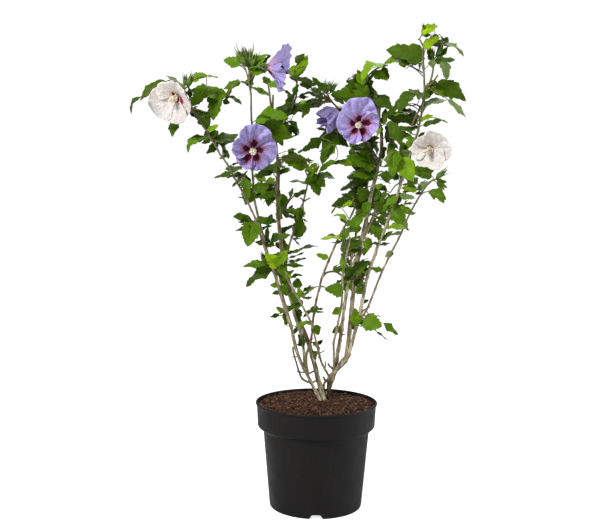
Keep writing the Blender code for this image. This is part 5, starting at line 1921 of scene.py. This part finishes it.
class HIBISCUS_OT_leaves(bpy.types.Operator):
    """Grow the leafy shoots and hang every leaf on its stalk, each tint in a piece of its own"""

    bl_idname = "hibiscus.leaves"
    bl_label = "Leaves"

    def execute(self, context):
        lines, hidden = grown()
        shown = shown_blades()
        masses = [name for name in frame["nodes"] if name.startswith("foliage_")]
        underside = tuple(colours().leaf_grey)
        for number, tint in enumerate(TINTS):
            parts = []
            for seed, blades in enumerate((shown, hidden)):
                chosen = np.flatnonzero(blades.tint == number)
                picked = Blades(*(values[chosen] for values in blades))
                parts += blade_sheets(picked, SEED + 10 * number + seed)
            replaced = masses if tint == "mid" else ()
            surface = leaf_surface(f"leaf_{tint}", tuple(getattr(colours(), f"leaf_{tint}")), underside)
            make_piece(f"leaves_{tint}", parts, surface, replaced)
        shoot_radii = sizes().shoot_radius * np.linspace(1.0, 0.5, SHOOT_STEPS)
        shoots = tubes(lines, np.broadcast_to(shoot_radii, lines.shape[:2]), 6, 0.6)
        stalks = []
        for blades, load in ((shown, sprays()[2]), (hidden, np.ones(len(hidden.base)))):
            paths = stalk_lines(blades)
            taper = sizes().stalk_radius * np.linspace(1.0, 0.8, paths.shape[1])
            radii = taper * np.minimum(load, 7.0)[:, None] ** 0.2
            stalks.append(tubes(paths, radii, 5, blades.tone))
        green = stalk_surface("leaf_stalk", colours().stalk, colours().bark_brown)
        make_piece("leafy_shoots", [shoots], green)
        make_piece("leaf_stalks", stalks, green)
        return {"FINISHED"}


class HIBISCUS_OT_blooms(bpy.types.Operator):
    """Open the blooms: ruffled petals, stamens, calyx and stalk"""

    bl_idname = "hibiscus.blooms"
    bl_label = "Blooms"

    def execute(self, context):
        eye, flush = tuple(colours().petal_eye), tuple(colours().petal_flush)
        blue, white = tuple(colours().petal_blue), tuple(colours().petal_white)
        blue_back = petal_back_surface("petal_blue_back", scaled(blue, 0.94), (0.64, 0.36, 0.58), 0.6)
        white_back = petal_back_surface("petal_white_back", white, (0.74, 0.70, 0.60), 0.12)
        rose, red = (0.80, 0.62, 0.62), (0.36, 0.005, 0.016)
        surfaces = {
            "blue": (petal_surface("petal_blue", blue, flush, eye, 0.9, 0.5), blue_back),
            "white": (petal_surface("petal_white", white, rose, red, 0.16, 0.08), white_back),
        }
        green, columns, beads = [], [], []
        for number, (bloom, (throat, facing, foot)) in enumerate(zip(BLOOMS, bloom_places())):
            rng = np.random.default_rng(SEED + 60 + number)
            open_wide = bloom.cone[1] > OPEN_ABOVE
            spread = SPREADS[bloom.colour if open_wide else "closed"]
            petals = cup(bloom.petals, bloom.cone, spread, PETAL_ROWS, PETAL_COLUMNS, rng,
                         ruffle=bloom.ruffle, lap=LAPS[bloom.colour], notch=RIM_NOTCH)
            eyes = np.array(bloom.eyes) * USUAL_PETAL / bloom.petals
            sheet = cup_part(petals, throat, facing, bloom.spin, eyes, bloom.shades)
            nodes = [bloom.node] if bloom.node else ()
            inside, outside = surfaces[bloom.colour]
            made = make_piece(f"bloom_{bloom.name}", [sheet], inside, nodes)
            made.data.materials.append(outside)
            wall = made.modifiers.new("petal thickness", "SOLIDIFY")
            wall.thickness = sizes().petal_thickness
            wall.offset = 0.0
            wall.material_offset = 1
            green += calyx_parts(throat, facing, bloom.spin, rng)
            behind = throat - facing * 0.014
            stalk = through([foot, (foot + behind) / 2 - facing * 0.006, behind], 12)
            green.append(tubes(stalk[None], np.full((1, 12), 0.0015), 8, 0.5))
            if open_wide:
                column, anthers = column_parts(throat, facing, rng, COLUMN_LENGTH)
                columns += column
                beads.append(anthers)
        calyx = stalk_surface("calyx_green", (0.100, 0.170, 0.020), (0.060, 0.105, 0.015))
        make_piece("bloom_calyxes", green, calyx)
        cream = tuple(colours().stamen)
        stamen_white = plain_surface("stamen_white", white, cream, 900.0)
        make_piece("stamen_columns", columns, stamen_white)
        pollen = plain_surface("pollen_cream", cream, scaled(cream, 0.7), 1200.0, 0.85)
        make_piece("anthers", beads, pollen)
        return {"FINISHED"}


class HIBISCUS_OT_buds(bpy.types.Operator):
    """Set the buds: green eggs in bracts, at the shoot tips"""

    bl_idname = "hibiscus.buds"
    bl_label = "Buds"

    def execute(self, context):
        rng = np.random.default_rng(SEED + 80)
        parts = []
        for bud in BUDS:
            carrier, sample = nearest_place(carriers(), np.array((bud.x, bud.y), float))
            foot = carriers()[carrier].line[sample]
            place = at_depth((bud.x, bud.y), foot[1] + rng.uniform(-0.008, 0.004))
            lean = math.radians(bud.lean)
            facing = unit(np.array((math.sin(lean), rng.uniform(-0.35, 0.2), math.cos(lean))))
            parts += bud_parts(place, facing, bud.length, rng)
            stalk = through([foot, (foot + place) / 2, place], 6)
            parts.append(tubes(stalk[None], np.full((1, 6), 0.0011), 6, 0.5))
        lines, _ = grown()
        tall = lines[lines[:, -1, 2] > BUDS_ABOVE]
        tall = tall[outside_sprays(tall[:, -1] + UP * 0.008)[0] < -1.0]
        for line in tall[:: max(1, len(tall) // GROWN_BUDS)]:
            facing = unit(line[-1] - line[-2] + UP * 0.01)
            parts += bud_parts(line[-1], facing, rng.uniform(0.012, 0.022), rng)
        bud_green = stalk_surface("bud_green", (0.110, 0.190, 0.016), (0.060, 0.105, 0.012))
        make_piece("buds", parts, bud_green)
        return {"FINISHED"}


FLOOR_HALF = 30.0
LIGHT_AIM = (0, 0, 0.5)


class HIBISCUS_OT_stage(bpy.types.Operator):
    """Lay the pale floor, hang the soft lights and set the camera"""

    bl_idname = "hibiscus.stage"
    bl_label = "Stage"

    def execute(self, context):
        self.floor()
        self.light("key", (-1.6, -1.8, 2.3), 1.0, 108.0)
        self.light("side", (2.3, -0.2, 0.7), 1.3, 34.0)
        self.light("back", (0.5, 1.9, 2.2), 1.2, 20.0)
        self.world(context.scene)
        self.camera(context.scene)
        context.scene.view_settings.view_transform = "Standard"
        return {"FINISHED"}

    @staticmethod
    def placed(name, data):
        """A new object of the scene."""
        made = bpy.data.objects.new(name, data)
        bpy.context.scene.collection.objects.link(made)
        return made

    def floor(self):
        """A wide pale floor that glows white to the camera and less to the plant."""
        surface, tree, shader, *_ = blank("pale_floor", 0.9, 0.1)
        shader.inputs["Base Color"].default_value = (0.62, 0.62, 0.62, 1.0)
        shader.inputs["Emission Color"].default_value = (1.0, 1.0, 1.0, 1.0)
        seen = node(tree, "ShaderNodeLightPath").outputs["Is Camera Ray"]
        tree.links.new(between(tree, seen, 0.0, 1.0, 0.12, 0.80), shader.inputs["Emission Strength"])
        far = FLOOR_HALF
        mesh = bpy.data.meshes.new("floor")
        mesh.from_pydata([(-far, -far, 0), (far, -far, 0), (far, far, 0), (-far, far, 0)], [], [(0, 1, 2, 3)])
        mesh.materials.append(surface)
        floor = self.placed("floor", mesh)

    @staticmethod
    def world(scene):
        """White air, brighter to the camera than to the plant."""
        scene.world = bpy.data.worlds.new("white studio")
        scene.world.use_nodes = True
        tree = scene.world.node_tree
        background = tree.nodes["Background"]
        background.inputs[0].default_value = (1.0, 1.0, 1.0, 1.0)
        seen = node(tree, "ShaderNodeLightPath").outputs["Is Camera Ray"]
        tree.links.new(between(tree, seen, 0.0, 1.0, 0.40, 1.05), background.inputs[1])

    def camera(self, scene):
        """The camera that pixels are counted in."""
        data = bpy.data.cameras.new("camera")
        data.lens = LENS
        data.sensor_width = SENSOR_WIDTH
        scene.camera = self.placed("camera", data)
        scene.camera.matrix_world = Matrix.Translation(CAMERA_PLACE) @ CAMERA_TURN

    def light(self, name, place, size, power):
        """A soft square light that looks at the middle of the shrub."""
        data = bpy.data.lights.new(name, "AREA")
        data.size = size
        data.energy = power
        place = Vector(place)
        aim = (Vector(LIGHT_AIM) - place).to_track_quat("-Z", "Y")
        self.placed(name, data).matrix_world = Matrix.Translation(place) @ aim.to_matrix().to_4x4()


class HIBISCUS_PT_sidebar(bpy.types.Panel):
    bl_label = "Potted hibiscus"
    bl_idname = "HIBISCUS_PT_sidebar"
    bl_space_type = "VIEW_3D"
    bl_region_type = "UI"
    bl_category = "Hibiscus"

    def draw(self, context):
        for group in (context.scene.hibiscus_sizes, context.scene.hibiscus_colours):
            for name in group.__annotations__:
                self.layout.prop(group, name)
        for operator in OPERATORS:
            self.layout.operator(operator.bl_idname)


OPERATORS = (
    HIBISCUS_OT_pot,
    HIBISCUS_OT_soil,
    HIBISCUS_OT_stems,
    HIBISCUS_OT_leaves,
    HIBISCUS_OT_blooms,
    HIBISCUS_OT_buds,
    HIBISCUS_OT_stage,
)
CLASSES = (HibiscusSizes, HibiscusColours, *OPERATORS, HIBISCUS_PT_sidebar)


def register():
    for each in CLASSES:
        bpy.utils.register_class(each)
    bpy.types.Scene.hibiscus_sizes = PointerProperty(type=HibiscusSizes)
    bpy.types.Scene.hibiscus_colours = PointerProperty(type=HibiscusColours)


def unregister():
    del bpy.types.Scene.hibiscus_colours
    del bpy.types.Scene.hibiscus_sizes
    for each in reversed(CLASSES):
        bpy.utils.unregister_class(each)


def main():
    register()
    bpy.ops.hibiscus.pot()
    bpy.ops.hibiscus.soil()
    bpy.ops.hibiscus.stems()
    bpy.ops.hibiscus.leaves()
    bpy.ops.hibiscus.blooms()
    bpy.ops.hibiscus.buds()
    bpy.ops.hibiscus.stage()


if __name__ == "__main__":
    main()
